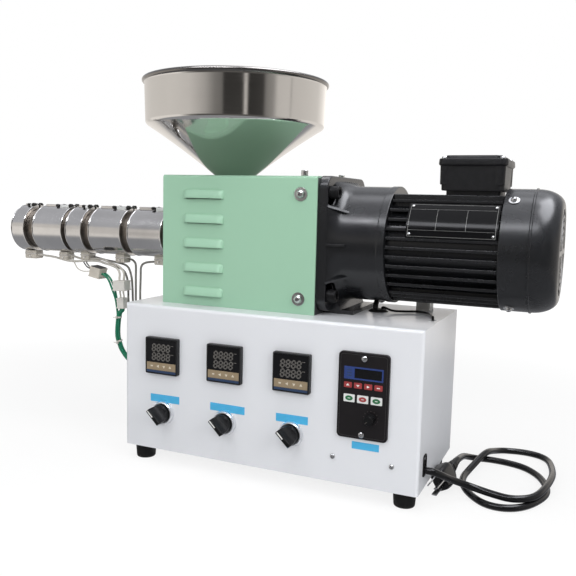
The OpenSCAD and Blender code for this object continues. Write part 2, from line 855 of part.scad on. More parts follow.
band_slit = 4;
band_lug_l = 8;
band_lug_t = 4;
band_lug_h = 8;
band_screw_d = 4;
band_screw_head_d = 7;
band_screw_l = 26;
band_box_in = 20;

function band_x(i) = die_end_x + sum_to(band_lengths, i) + sum_to(band_gaps, i);
function band_box_x(i) = band_x(i) + band_lengths[i] - min(band_box_in, band_lengths[i] / 2);

module heater_band(i) {
  outer = barrel_r + fit + band_t;
  color(bright_steel) machine() {
    on_axis(band_x(i)) difference() {
      cylinder(h = band_lengths[i], r = outer);
      translate([0, 0, -cut]) cylinder(h = band_lengths[i] + 2 * cut, r = barrel_r + fit);
      translate([-band_slit / 2, 0, -cut]) cube([band_slit, 2 * outer, band_lengths[i] + 2 * cut]);
    }
    for (end = [0, band_lengths[i] - band_lug_l]) on_axis(band_x(i) + end) {
      for (side = [-1, 1])
        translate([side * (band_slit + band_lug_t) / 2 - band_lug_t / 2, outer - band_t / 2, 0])
          cube([band_lug_t, band_lug_h, band_lug_l]);
      translate([-band_screw_l / 2, outer + band_lug_h / 2, band_lug_l / 2]) rotate([0, 90, 0]) {
        cylinder(h = band_screw_l, d = band_screw_d);
        cylinder(h = band_lug_t, d = band_screw_head_d);
      }
    }
  }
}

module band_terminals() {
  outer = barrel_r + fit + band_t;
  color(ceramic) machine() difference() {
    for (i = [0 : len(band_lengths) - 1])
      translate([band_box_x(i) - band_box / 2, axis_y - band_box / 2, axis_z - outer - band_box_h])
        cube([band_box, band_box, band_box_h + band_t]);
    on_axis(die_end_x) cylinder(h = barrel_reach + die_l, r = outer + fit);
  }
}

// Wiring

// Draws the children, given from the cabinet's top left edge below the drive axis
module beside_cabinet() {
  translate([0, axis_y, cabinet_h]) children();
}

// Gap between a wire's end and its seat
seat_gap = 0.1;
wire_steps = 3;
wire_sides = 8;

// Wire that leaves and enters its seats straight, with a route between
module wire(start, route, end, d) {
  tube(concat([start], smooth_route(route, wire_steps), [end]), d, wire_sides, [0, 1, 0]);
}

// Bottom of the heater bands' terminal boxes, above the cabinet
box_low = axis_rise - barrel_r - fit - band_t - band_box_h;
// Middles and sizes of the three connectors beside the cabinet
connector_side = -21;
connector_1 = [-115, connector_side, 26];
connector_1_size = [19, 18, 16];
connector_2 = [-72, connector_side, 9];
connector_2_size = [21, 16, 15];
connector_3 = [-71, connector_side, -17];
connector_3_size = [12, 12, 16];

module wire_connectors() {
  color(ceramic) machine() beside_cabinet() {
    translate(connector_1) cube(connector_1_size, center = true);
    translate(connector_2) cube(connector_2_size, center = true);
    translate(connector_3) cube(connector_3_size, center = true);
  }
}

// Where a wire leaves the terminal box of a band, side away from the drive axis
function box_exit(i, side) = [band_box_x(i), side, box_low - seat_gap];
// Place on the outside of the wire grommet
function hole_entry(side, up) = [-seat_gap, wire_hole_y - axis_y + side, wire_hole_z - cabinet_h + up];

wire_drop = [0, 0, -3];
wire_bend = [6, 0, -6];
wire_run = [30, 0, -7];
wire_entry = [-4, 0, 0];
link_d = 2.5;

// Wire from one of the first two bands to the second connector
module connector_wire(i) {
  side = -6 + 5 * i;
  exit = box_exit(i, side);
  top = connector_2 + [8 * i - 4, 0, connector_2_size.z / 2 + seat_gap];
  wire(exit, [
    exit + wire_drop, exit + wire_bend, exit + wire_run, [-110, side, box_low - 8],
    [-90 + 3 * i, side - 9 + 4 * i, box_low - 11], top + [-2, 2, 10], top + [0, 0, 4]
  ], top, heater_wire_d);
}

module heater_wires() {
  exits = [box_exit(2, 4), box_exit(3, 8), box_exit(4, 0)];
  entries = [hole_entry(4, -2), hole_entry(-2, 3), hole_entry(5, 7)];
  upper = connector_2 - [0, 0, connector_2_size.z / 2 + seat_gap];
  lower = connector_3 + [0, 0, connector_3_size.z / 2 + seat_gap];
  color(wire_pale) machine() beside_cabinet() {
    for (i = [0, 1]) connector_wire(i);
    wire(exits[0], [
      exits[0] + wire_drop, exits[0] + wire_bend, exits[0] + wire_run, [-96, 4, box_low - 7],
      [-79, 4, box_low - 13], [-72, 3, 8], [-70, 3, -20], [-64, 3, -60], [-40, 2, -94],
      [-16, 2, -108], entries[0] + wire_entry
    ], entries[0], heater_wire_d);
    wire(exits[1], [
      exits[1] + wire_drop, exits[1] + wire_bend, [-72, 8, box_low - 13], [-66, 6, 8], [-64, 3, -20],
      [-58, 0, -60], [-36, -3, -90], [-14, -4, -103], entries[1] + wire_entry
    ], entries[1], heater_wire_d);
    wire(exits[2], [
      exits[2] + wire_drop, exits[2] + [-6, 0, -6], [-46, 2, box_low - 9], [-58, 5, 8], [-58, 6, -20],
      [-51, 5, -60], [-32, 4, -86], [-12, 3, -99], entries[2] + wire_entry
    ], entries[2], heater_wire_d);
    for (x = [-3, 3])
      wire(upper + [x, 0, 0], [upper + [x, 0, -3], lower + [x, 0, 3]], lower + [x, 0, 0], link_d);
  }
}

sensor_wire_d = 3;

module sensor_wires() {
  low = connector_3 - [0, 0, connector_3_size.z / 2 + seat_gap];
  entry = hole_entry(-1, -9);
  color(wire_green) machine() beside_cabinet() {
    for (y = [-3, 3]) {
      exit = connector_1 + [connector_1_size.x / 2 + seat_gap, y, -2];
      wire(exit, [
        exit + [3, 0, 0], [-94, connector_side + y, 17], [-87, connector_side + y, 3],
        [-82, connector_side + y / 2, -12], [-80, connector_side, -30]
      ], [-79, connector_side, -42], sensor_wire_d);
    }
    wire(low, [
      low + [0, 0, -3], [-76, connector_side, -33], [-79, connector_side, -50], [-79, connector_side, -67],
      [-75, connector_side, -79], [-70, -20, -90], [-58, -17, -104], [-36, -9, -114], entry + [-12, 0, 0],
      entry + wire_entry
    ], entry, sensor_bundle_d);
  }
}

grommet_lip = 4;
grommet_lip_t = 3;

module wire_grommet() {
  color(black_plastic) machine() translate([0, wire_hole_y, wire_hole_z]) rotate([0, 90, 0]) {
    cylinder(h = cabinet_sheet + grommet_lip_t, d = wire_hole_d - 2 * fit);
    translate([0, 0, cabinet_sheet]) cylinder(h = grommet_lip_t, d = wire_hole_d + grommet_lip);
  }
}

module lead_grommet() {
  color(black_plastic) machine() translate([lead_hole.x, lead_hole.y, cabinet_h - cabinet_sheet]) {
    cylinder(h = cabinet_sheet, d = lead_hole_d - 2 * fit);
    translate([0, 0, cabinet_sheet])
      cylinder(h = grommet_lip_t, d1 = lead_hole_d + 2 * grommet_lip, d2 = lead_hole_d);
  }
}

thin_lead_d = 4;
lead_side = 4;
lead_back = 14;
lead_steps = 4;
lead_sides = 10;

// Leads from the grommet on the cabinet's top: a thick one behind the motor to the terminal box's
// gland, and a thin one along the top to a hole at its right edge
module motor_lead() {
  gland = [
    fan_x - terminal_end_gap - terminal_w / 2, axis_y + terminal_d / 2 + terminal_gland_l + seat_gap,
    axis_z + motor_pad + terminal_h / 2 + terminal_foot_h / 2
  ];
  foot = [lead_hole.x - lead_side, lead_hole.y, cabinet_h + grommet_lip_t + seat_gap];
  thin_foot = foot + [2 * lead_side + 1, 0, 0];
  on_top = cabinet_h + thin_lead_d / 2 + seat_gap;
  back_y = axis_y + gear_r + lead_back;
  color(black_plastic) machine() {
    tube(concat([gland], smooth_route([
      gland + [0, 8, 0], gland + [-2, 24, -12], [gland.x - 20, back_y, axis_z + 30],
      [gland.x - 60, back_y, axis_z - 10], [foot.x + 18, back_y - 4, axis_z - 40],
      [foot.x + 3, back_y - 24, cabinet_h + 22], [foot.x, axis_y + 36, cabinet_h + 11],
      foot + [0, 16, 10], foot + [0, 6, 9], foot + [0, 1, 6], foot + [0, 0, 3]
    ], lead_steps), [foot]), motor_lead_d, lead_sides, [1, 0, 0]);
    tube(concat([thin_foot], smooth_route([
      thin_foot + [0, 0, 2], thin_foot + [4, -4, 3], [thin_foot.x + 15, axis_y - 2, on_top + 1],
      [thin_foot.x + 28, axis_y + 6, on_top], [thin_foot.x + 40, axis_y + 13, on_top],
      [thin_hole.x - 21, axis_y + 13, on_top], [thin_hole.x - 9, axis_y - 1, on_top],
      [thin_hole.x - 3, axis_y - 20, on_top], [thin_hole.x - 1, thin_hole.y + 6, on_top + 1],
      [thin_hole.x, thin_hole.y + 1, on_top - 3]
    ], wire_steps), [[thin_hole.x, thin_hole.y, cabinet_h - 12]]), thin_lead_d, wire_sides, [0.3, 1, 0]);
  }
}

// Mains cord

clamp_size = [12, 24, 34];

module cord_clamp() {
  x = cabinet_w - cabinet_sheet - clamp_size.x / 2;
  color(black_plastic) machine() translate([x, slot_y, slot_z]) cube(clamp_size, center = true);
}

// Draws the children, given from the table below the cabinet's right front corner
module beside_slot() {
  translate([cabinet_w, 0, -foot_h]) children();
}

// Middle line of the cord on the table, from the slot in the cabinet to the back of the plug
cord_route = [
  [10, 28, 43], [19, 37, 37], [28, 50, 29], [40, 61, 22], [55, 66, 17], [73, 66, 14], [91, 64, 13],
  [105, 68, 13], [117, 79, 13], [125, 95, 14], [131, 125, 14], [134, 162, 12], [132, 202, 7],
  [126, 238, 4], [115, 255, 4], [99, 262, 4], [81, 262, 4], [65, 256, 5], [54, 240, 8], [48, 214, 14],
  [43, 195, 14], [36, 168, 9], [30, 142, 4], [31, 114, 4], [39, 90, 4], [52, 70, 4], [66, 57, 4],
  [81, 53, 4], [96, 57, 4], [109, 68, 4], [120, 86, 4], [129, 112, 4], [130, 136, 4], [123, 163, 4],
  [112, 184, 4], [95, 201, 4], [72, 209, 4], [49, 210, 4], [34, 206, 5], [25, 195, 9], [20, 176, 15],
  [19, 140, 22]
];
cord_steps = 2;
cord_sides = 10;
cord_stub = 4;
cord_low = cord_d / 2 + seat_gap;
plug_turn = 8;
plug_tilt = 6;
plug_roll = 50;
plug_along = [-sin(plug_turn) * cos(plug_tilt), -cos(plug_turn) * cos(plug_tilt), -sin(plug_tilt)];
cord_end = cord_route[len(cord_route) - 1] + cord_stub * plug_along;

module power_cord() {
  exit = [-cabinet_sheet + seat_gap, cord_route[0].y, cord_route[0].z];
  laid = [for (p = smooth_route(cord_route, cord_steps)) [p.x, p.y, max(p.z, cord_low)]];
  color(black_plastic) machine() beside_slot()
    tube(concat([exit], laid, [cord_end]), cord_d, cord_sides, [0, 0, 1]);
}

plug_relief_l = 28;
plug_relief_d = 13;
plug_body_l = 42;
plug_size = [27, 20];
plug_corner = 6;
plug_grip_share = 0.45;
blade_l = 18;
blade = [1.6, 6.4];
blade_gap = 12.7;
blade_up = 3;
earth_pin_d = 4.8;
earth_pin_drop = 8;

// The plug leans on its lower edge and points towards the front
module power_plug() {
  body_z = plug_relief_l + plug_body_l * plug_grip_share;
  color(black_plastic) machine() beside_slot()
    translate(cord_end + seat_gap * plug_along) rotate([90 + plug_tilt, 0, -plug_turn]) rotate(plug_roll) {
      cylinder(h = plug_relief_l, d1 = cord_d + 1, d2 = plug_relief_d);
      hull() {
        translate([0, 0, plug_relief_l]) cylinder(h = cut, d = plug_relief_d, $fn = 32);
        translate([0, 0, body_z]) linear_extrude(plug_relief_l + plug_body_l - body_z)
          round_rect(plug_size.x, plug_size.y, plug_corner, $fn = 32);
      }
      translate([0, 0, plug_relief_l + plug_body_l]) {
        for (x = [-1, 1])
          translate([x * blade_gap / 2, blade_up, 0]) linear_extrude(blade_l) square(blade, center = true);
        translate([0, blade_up - earth_pin_drop, 0]) cylinder(h = blade_l, d = earth_pin_d);
      }
    }
}

cabinet_shell();
cabinet_base();
foot(false, false);  // foot_front_left
foot(true, false);  // foot_front_right
foot(false, true);  // foot_back_left
foot(true, true);  // foot_back_right
temperature_controller(0);  // temperature_controller_1
temperature_controller(1);  // temperature_controller_2
temperature_controller(2);  // temperature_controller_3
selector_bezel(0);  // selector_bezel_1
selector_bezel(1);  // selector_bezel_2
selector_bezel(2);  // selector_bezel_3
selector_knob(0);  // selector_knob_1
selector_knob(1);  // selector_knob_2
selector_knob(2);  // selector_knob_3
speed_panel();
speed_knob();
drive_cover();
cover_screws();
bearing_housing();
gear_case();
flange_bolts();
motor_body();
lead_block();
fan_cover();
terminal_box();
terminal_lid();
hopper();
barrel();
feed_screw();
die_head();
heater_band(0);  // heater_band_1
heater_band(1);  // heater_band_2
heater_band(2);  // heater_band_3
heater_band(3);  // heater_band_4
heater_band(4);  // heater_band_5
band_terminals();
wire_connectors();
heater_wires();
sensor_wires();
wire_grommet();
lead_grommet();
motor_lead();
cord_clamp();
power_cord();
power_plug();
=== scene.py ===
"""Looks of a desktop filament extruder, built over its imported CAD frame."""
from math import asin, atan2, cos, pi, radians, sin, sqrt
import bmesh
import bpy
from mathutils import Matrix, Vector


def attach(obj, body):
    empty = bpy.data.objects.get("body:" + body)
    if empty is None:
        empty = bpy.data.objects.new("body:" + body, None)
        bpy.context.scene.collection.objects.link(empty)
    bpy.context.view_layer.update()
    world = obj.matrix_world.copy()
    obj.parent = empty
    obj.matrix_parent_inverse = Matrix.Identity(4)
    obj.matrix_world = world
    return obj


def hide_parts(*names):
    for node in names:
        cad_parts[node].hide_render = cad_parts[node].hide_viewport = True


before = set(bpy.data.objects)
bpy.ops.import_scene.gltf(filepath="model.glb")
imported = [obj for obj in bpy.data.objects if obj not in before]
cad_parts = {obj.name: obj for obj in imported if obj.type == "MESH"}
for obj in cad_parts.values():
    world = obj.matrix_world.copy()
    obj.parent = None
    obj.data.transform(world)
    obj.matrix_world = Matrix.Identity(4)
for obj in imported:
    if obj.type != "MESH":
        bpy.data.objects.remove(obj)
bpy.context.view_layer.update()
scene = bpy.context.scene
scene.view_settings.view_transform = "Standard"

# Sizes of the part's source, in millimetres from the cabinet's lower front left corner
CABINET_W, CABINET_H, FOOT_H = 400.0, 192.0, 20.0
AXIS_Y, AXIS_Z = 109.0, 279.0
COVER_X, COVER_END, COVER_FRONT, COVER_DEEP, COVER_TOP = 37.0, 255.0, 32.0, 154.0, 361.0
HOPPER_X = COVER_X + 65.4
MOTOR_X, MOTOR_LONG, MOTOR_R, PLATE_R = 338.0, 129.0, 70.0, 71.0
FAN_X, FAN_R = 467.0, 72.0
TERMINAL_X, TERMINAL_Z = FAN_X - 38.0, AXIS_Z + 63.0
DIE_END, BOX_LOW = -270.0, 41.5
BANDS = [(-270.0, 26.0), (-228.5, 57.0), (-165.0, 30.0), (-123.0, 58.0), (-54.0, 58.0)]
BAND_BOXES = [(-257.0, 3.0), (-191.5, 2.2), (-150.0, 0.0), (-85.0, 0.6), (-16.0, 0.0)]
CONTROLLERS = [60.0, 151.4, 242.8]
LOUVERS = [211.0 + 31.6 * k for k in range(5)]
CONTROLLER_Z, SELECTOR_Z = 127.0, 51.0
SPEED_X, SPEED_Z, DIAL_AT = 332.3, 109.5, (10.5, -24.5, 0)
DIAL_START, DIAL_STEP, DIAL_MARKS = 225, 27, 11
TO_ROW = Matrix.Translation((-0.125, -0.10435, 0.020)) @ Matrix.Scale(0.001, 4)

# Relief depths in metres, the range of most of a noise, and the colour of dust
GRAIN_DEPTH, LINE_DEPTH, MOST_NOISE = 0.0006, 0.0003, (0.3, 0.7)
DUST_COLOUR, WHITE = (0.42, 0.40, 0.37), (1.0, 1.0, 1.0, 1.0)
SHARP = 32.0


def at(x, y, z):
    return Matrix.Translation((x, y, z))


def turn(angle, axis):
    return Matrix.Rotation(radians(angle), 4, axis)


def polar(r, angle):
    """The point at a radius and an angle in degrees."""
    return r * cos(radians(angle)), r * sin(radians(angle))


def on_panel(x, z):
    """Places a shape that faces +Z on the cabinet's front."""
    return at(x, 0, z) @ turn(90, "X")


def on_axis(x):
    """Places a shape that stands round +Z round the drive axis, from station x."""
    return Matrix(((0, 0, 1, x), (1, 0, 0, AXIS_Y), (0, 1, 0, AXIS_Z), (0, 0, 0, 1)))


def on_shell(x, r, angle):
    """A spot and its turn on a shell round the drive axis, at an angle up from the front."""
    y, up = polar(r, angle)
    return (x, AXIS_Y - y, AXIS_Z + up), (90 - angle, 0, 0)


# Node trees

def put(tree, kind, sockets=None, **settings):
    """A new node, with values or links for its sockets."""
    made = tree.nodes.new(kind)
    for name, value in settings.items():
        setattr(made, name, value)
    for key, value in (sockets or {}).items():
        if isinstance(value, bpy.types.NodeSocket):
            tree.links.new(value, made.inputs[key])
        else:
            made.inputs[key].default_value = value
    return made


def calc(tree, operation, a, b=0.0):
    """One step of arithmetic."""
    return put(tree, "ShaderNodeMath", {0: a, 1: b}, operation=operation).outputs[0]


def mapped(tree, value, low, high, to_low=0.0, to_high=1.0, **settings):
    """A value carried from one range to another."""
    return put(tree, "ShaderNodeMapRange", {"Value": value, "From Min": low, "From Max": high, "To Min": to_low,
                                            "To Max": to_high}, **settings).outputs[0]


def own_place(tree):
    return put(tree, "ShaderNodeTexCoord").outputs["Object"]


def cloud(tree, scale, detail, **sockets):
    """Noise over the piece's own coordinates."""
    return put(tree, "ShaderNodeTexNoise", {"Vector": own_place(tree), "Scale": scale, "Detail": detail,
                                            **sockets}).outputs[0]


def bumped(tree, strength, depth, height):
    return put(tree, "ShaderNodeBump", {"Strength": strength, "Distance": depth, "Height": height}).outputs[0]


def mixed(tree, share, a, b):
    """One colour over another."""
    return put(tree, "ShaderNodeMix", {0: share, 6: a, 7: b}, data_type="RGBA").outputs[2]


def blank(owner):
    """The emptied node tree of a material or a world."""
    owner.use_nodes = True
    owner.node_tree.nodes.clear()
    return owner.node_tree


def shared(name, inputs, outputs, kind="ShaderNodeTree"):
    """A node group, its inputs, and a function that links its outputs."""
    tree = bpy.data.node_groups.new(name, kind)
    for way, sockets in (("INPUT", inputs), ("OUTPUT", outputs)):
        for label, socket in sockets.items():
            tree.interface.new_socket(label, in_out=way, socket_type="NodeSocket" + socket)
    given, made = tree.nodes.new("NodeGroupInput").outputs, tree.nodes.new("NodeGroupOutput").inputs

    def end(*sockets):
        for socket, target in zip(sockets, made):
            tree.links.new(socket, target)
        return tree

    return tree, given, end


def tone_group():
    """Colour that drifts a little over the surface."""
    tree, given, end = shared("Drifting tone", {"Colour": "Color", "Spread": "Float", "Scale": "Float"},
                              {"Colour": "Color"})
    share = mapped(tree, cloud(tree, given["Scale"], 5.0, Roughness=0.6), *MOST_NOISE,
                   calc(tree, "SUBTRACT", 1.0, given["Spread"]), calc(tree, "ADD", 1.0, given["Spread"]))
    return end(put(tree, "ShaderNodeVectorMath", {0: given["Colour"], "Scale": share}, operation="SCALE").outputs[0])


def grain_group():
    """Fine uneven surface of paint, castings and moulded plastic."""
    tree, given, end = shared("Surface grain", {"Scale": "Float", "Strength": "Float"}, {"Normal": "Vector"})
    return end(bumped(tree, given["Strength"], GRAIN_DEPTH, cloud(tree, given["Scale"], 3.0)))


def smudge_group():
    """Roughness that changes with handling marks."""
    tree, given, end = shared("Handling marks", {"Rough": "Float", "Play": "Float", "Scale": "Float"},
                              {"Rough": "Float"})
    return end(mapped(tree, cloud(tree, given["Scale"], 6.0, Distortion=0.6), *MOST_NOISE,
                      calc(tree, "SUBTRACT", given["Rough"], given["Play"]),
                      calc(tree, "ADD", given["Rough"], given["Play"])))


def mask_group(name, reading, axis, low, high, scale, detail, patch_low, patch_high):
    """Patchy mask of where a reading of the surface is high."""
    tree, given, end = shared(name, {"Amount": "Float"}, {"Mask": "Float"})
    value = put(tree, "ShaderNodeNewGeometry").outputs[reading]
    if axis is not None:
        value = put(tree, "ShaderNodeSeparateXYZ", {0: value}).outputs[axis]
    patchy = mapped(tree, cloud(tree, scale, detail), patch_low, patch_high)
    return end(calc(tree, "MULTIPLY", calc(tree, "MULTIPLY", mapped(tree, value, low, high), patchy), given["Amount"]))


def lines_group():
    """Fine lines of turned, spun and brushed metal, as a mask and as a relief."""
    tree, given, end = shared("Turned lines", {"Across": "Vector", "Strength": "Float"},
                              {"Mask": "Float", "Normal": "Vector"})
    scaled = put(tree, "ShaderNodeVectorMath", {0: own_place(tree), 1: given["Across"]}, operation="MULTIPLY")
    noise = put(tree, "ShaderNodeTexNoise", {"Vector": scaled.outputs[0], "Scale": 1.0, "Detail": 4.0}).outputs[0]
    return end(noise, bumped(tree, given["Strength"], LINE_DEPTH, noise))


TONE, GRAIN, SMUDGE, LINES = tone_group(), grain_group(), smudge_group(), lines_group()
WEAR = mask_group("Rubbed edges", "Pointiness", None, 0.52, 0.62, 160.0, 4.0, 0.4, 0.65)
DUST = mask_group("Settled dust", "Normal", 2, 0.35, 1.0, 90.0, 7.0, 0.42, 0.7)


def use(tree, group, **sockets):
    return put(tree, "ShaderNodeGroup", sockets, node_tree=group).outputs


def finish(name, colour, rough, metal=0.0, spread=0.05, tone=14.0, play=0.05, grain=0.06, grain_scale=800.0,
           wear=0.0, wear_colour=(0.3, 0.3, 0.3), dust=0.0, lines=None, coat=0.0, specular=0.5):
    """A finish with drifting colour, handling marks and a fine relief, and with wear, dust or lines if asked."""
    made = bpy.data.materials.new(name)
    tree = blank(made)
    base = use(tree, TONE, Colour=(*colour, 1.0), Spread=spread, Scale=tone)[0]
    for group, amount, over in ((WEAR, wear, wear_colour), (DUST, dust, DUST_COLOUR)):
        if amount:
            base = mixed(tree, use(tree, group, Amount=amount)[0], base, (*over, 1.0))
    marks = use(tree, SMUDGE, Rough=rough, Play=play, Scale=22.0)[0]
    if lines:
        across, strength = lines
        relief = use(tree, LINES, Across=across, Strength=strength)
        marks = calc(tree, "MULTIPLY", marks, mapped(tree, relief["Mask"], 0.25, 0.75, 0.75, 1.25))
    else:
        relief = use(tree, GRAIN, Scale=grain_scale, Strength=grain)
    shader = put(tree, "ShaderNodeBsdfPrincipled", {
        "Base Color": base, "Metallic": metal, "Roughness": marks, "Normal": relief["Normal"],
        "Specular IOR Level": specular, "Coat Weight": coat, "Coat Roughness": 0.12})
    put(tree, "ShaderNodeOutputMaterial", {"Surface": shader.outputs[0]})
    return made


WHITE_COAT = finish("White powder coat", (0.70, 0.71, 0.74), 0.42, spread=0.012, tone=5.0, grain=0.10,
                    grain_scale=900, coat=0.35)
GREEN_COAT = finish("Green enamel", (0.312, 0.522, 0.376), 0.35, spread=0.012, tone=6.0, play=0.02, grain=0.05,
                    grain_scale=700, specular=0.40)
BLACK_COAT = finish("Satin black paint", (0.010, 0.0105, 0.012), 0.25, spread=0.10, tone=25.0, grain=0.05,
                    grain_scale=900, wear=0.12, wear_colour=(0.06, 0.06, 0.064))
BLACK_MOULD = finish("Moulded black plastic", (0.010, 0.010, 0.011), 0.38, spread=0.12, tone=30.0, grain=0.16,
                     grain_scale=1400, wear=0.15, wear_colour=(0.05, 0.05, 0.052), specular=0.26)
KNOB_BLACK = finish("Knob plastic", (0.006, 0.006, 0.0065), 0.42, spread=0.1, grain=0.10, grain_scale=1800,
                    specular=0.16)
FOOT_RUBBER = finish("Foot rubber", (0.008, 0.008, 0.008), 0.55, spread=0.15, tone=60.0, grain=0.2, dust=0.04,
                     specular=0.2)
CORD_RUBBER = finish("Cord sheath", (0.005, 0.005, 0.0055), 0.19, spread=0.1, tone=60.0, grain=0.08, grain_scale=600,
                     specular=0.30)
MIRROR_STEEL = finish("Polished stainless", (0.66, 0.645, 0.625), 0.10, metal=1.0, spread=0.03, tone=9.0, play=0.03,
                      lines=((4.0, 4.0, 900.0), 0.03))
# Darker steel for the hopper's rolled rim: painted shade that stands in for the rim's dark reflection, not the steel's
# own colour.
RIM_SHADE_STEEL = finish("Rolled rim with painted shade", (0.19, 0.18, 0.17), 0.20, metal=1.0, spread=0.06, tone=20.0,
                   lines=((4.0, 4.0, 900.0), 0.03))
BAND_STEEL = finish("Stainless band", (0.62, 0.61, 0.60), 0.17, metal=1.0, spread=0.07, tone=18.0,
                    lines=((900.0, 30.0, 30.0), 0.03))
BARREL_STEEL = finish("Heat stained steel", (0.19, 0.165, 0.14), 0.38, metal=1.0, spread=0.22, tone=30.0, play=0.08,
                      lines=((900.0, 20.0, 20.0), 0.08))
SCREW_STEEL = finish("Zinc plated steel", (0.62, 0.62, 0.62), 0.24, metal=1.0, spread=0.08, tone=120.0, play=0.08,
                     grain=0.05)
RING_METAL = finish("Plated ring", (0.86, 0.87, 0.89), 0.30, metal=1.0, spread=0.04, tone=60.0, grain=0.03)
BOLT_BLACK = finish("Blackened bolt", (0.022, 0.021, 0.020), 0.42, metal=0.6, spread=0.15, tone=90.0, grain=0.10)
CASTING = finish("Painted casting", (0.04, 0.04, 0.042), 0.55, spread=0.2, tone=40.0, grain=0.3)
CERAMIC = finish("Unglazed ceramic", (0.52, 0.48, 0.42), 0.62, spread=0.10, tone=70.0, grain=0.2, dust=0.1)
CONNECTOR = finish("Connector plastic", (0.66, 0.64, 0.60), 0.50, spread=0.07, tone=60.0, grain=0.12)
SLEEVE = finish("Glass sleeve", (0.58, 0.55, 0.50), 0.75, spread=0.14, tone=220.0, grain=0.5, grain_scale=1600)
GREY_SLEEVE = finish("Grey sleeve", (0.26, 0.25, 0.23), 0.70, spread=0.16, tone=220.0, grain=0.5, grain_scale=1600)
GREEN_WIRE = finish("Green insulation", (0.006, 0.185, 0.095), 0.42, spread=0.10, tone=80.0, grain=0.08)
NYLON = finish("Natural nylon", (0.62, 0.60, 0.55), 0.45, spread=0.05, tone=90.0)
LABEL_BLUE = finish("Blue label", (0.055, 0.40, 0.69), 0.52, spread=0.05, tone=90.0, grain=0.10, grain_scale=2500)
SCREEN_BLACK = finish("Smoked window", (0.005, 0.005, 0.006), 0.20, spread=0.2, tone=60.0, grain=0.02, specular=0.22)
DIGIT_GREY = finish("Unlit digits", (0.105, 0.098, 0.090), 0.35, spread=0.08, tone=300.0, grain=0.02)
KEY_TAN = finish("Tan key strip", (0.27, 0.205, 0.125), 0.42, spread=0.05, tone=160.0, grain=0.05)
KEY_MARK = finish("Key marks", (0.62, 0.56, 0.46), 0.45, spread=0.05, tone=160.0, grain=0.05)
STRIP_BLUE = finish("Dark blue strip", (0.018, 0.04, 0.095), 0.35, spread=0.08, tone=160.0, grain=0.05)
PRINT_WHITE = finish("White print", (0.72, 0.72, 0.70), 0.50, spread=0.05, tone=200.0, grain=0.05)
PANEL_BLACK = finish("Speed panel face", (0.0095, 0.0078, 0.0088), 0.42, spread=0.10, tone=80.0, grain=0.08,
                     grain_scale=2200, specular=0.24)
DISPLAY_BLUE = finish("Display blue", (0.018, 0.042, 0.18), 0.32, spread=0.07, tone=160.0, grain=0.03)
KEY_RED = finish("Red keys", (0.30, 0.032, 0.033), 0.45, spread=0.07, tone=160.0, grain=0.06)
KEY_WHITE = finish("White keys", (0.66, 0.67, 0.66), 0.45, spread=0.04, tone=160.0, grain=0.06)
KEY_GREEN = finish("Green ovals", (0.009, 0.13, 0.042), 0.45, spread=0.07, tone=160.0, grain=0.06)
PLATE_BLACK = finish("Bare nameplate", (0.005, 0.005, 0.0055), 0.12, spread=0.1, tone=60.0, play=0.02, grain=0.02,
                     specular=0.12)
PANEL_LINE = finish("Panel lines", (0.030, 0.028, 0.028), 0.40, spread=0.1, tone=200.0, grain=0.03)
PLATE_RULE = finish("Nameplate rules", (0.16, 0.16, 0.155), 0.40, spread=0.1, tone=200.0, grain=0.03)


# Geometry trees

def geometry(name, inputs):
    """A geometry tree that ends with its copies made real, smooth and dressed."""
    tree, given, link = shared(name, {"Geometry": "Geometry", **inputs, "Material": "Material"},
                               {"Geometry": "Geometry"}, "GeometryNodeTree")

    def end(socket):
        whole = put(tree, "GeometryNodeRealizeInstances", {0: socket})
        smooth = put(tree, "GeometryNodeSetShadeSmooth", {0: whole.outputs[0]})
        dressed = put(tree, "GeometryNodeSetMaterial", {"Geometry": smooth.outputs[0], "Material": given["Material"]})
        return link(dressed.outputs[0])

    return tree, given, end


def copied(tree, points, shape, **sockets):
    """Copies of an object's shape on points."""
    info = put(tree, "GeometryNodeObjectInfo", {"Object": shape, "As Instance": True})
    return put(tree, "GeometryNodeInstanceOnPoints", {"Points": points, "Instance": info.outputs["Geometry"],
                                                      **sockets}).outputs[0]


def joined(tree, **axes):
    return put(tree, "ShaderNodeCombineXYZ", axes).outputs[0]


def tube_tree():
    """Round tube along the base's line of points."""
    tree, given, end = geometry("Tube on a path", {"Radius": "Float", "Sides": "Int", "Rings": "Int"})
    line = put(tree, "GeometryNodeMeshToCurve", {0: given["Geometry"]})
    even = put(tree, "GeometryNodeResampleCurve", {"Curve": line.outputs[0], "Count": given["Rings"]})
    ring = put(tree, "GeometryNodeCurvePrimitiveCircle", {"Resolution": given["Sides"], "Radius": given["Radius"]})
    skin = put(tree, "GeometryNodeCurveToMesh", {"Curve": even.outputs[0], "Profile Curve": ring.outputs[0],
                                                 "Fill Caps": True})
    return end(skin.outputs[0])


def beads_tree():
    """Copies of a shape at even places along the base's line of points, turned along it."""
    tree, given, end = geometry("Beads on a path", {"Count": "Int", "Shape": "Object"})
    line = put(tree, "GeometryNodeMeshToCurve", {0: given["Geometry"]})
    places = put(tree, "GeometryNodeCurveToPoints", {"Curve": line.outputs[0], "Count": given["Count"]}).outputs
    return end(copied(tree, places["Points"], given["Shape"], Rotation=places["Rotation"]))


def copies_tree():
    """Copies of a shape on the base's points, each with its own turn and size."""
    tree, given, end = geometry("Copies on points", {"Shape": "Object"})
    turned, sized = (put(tree, "GeometryNodeInputNamedAttribute", {"Name": name}, data_type="FLOAT_VECTOR").outputs[0]
                     for name in ("turned", "sized"))
    euler = put(tree, "FunctionNodeEulerToRotation", {0: turned})
    return end(copied(tree, given["Geometry"], given["Shape"], Rotation=euler.outputs[0], Scale=sized))


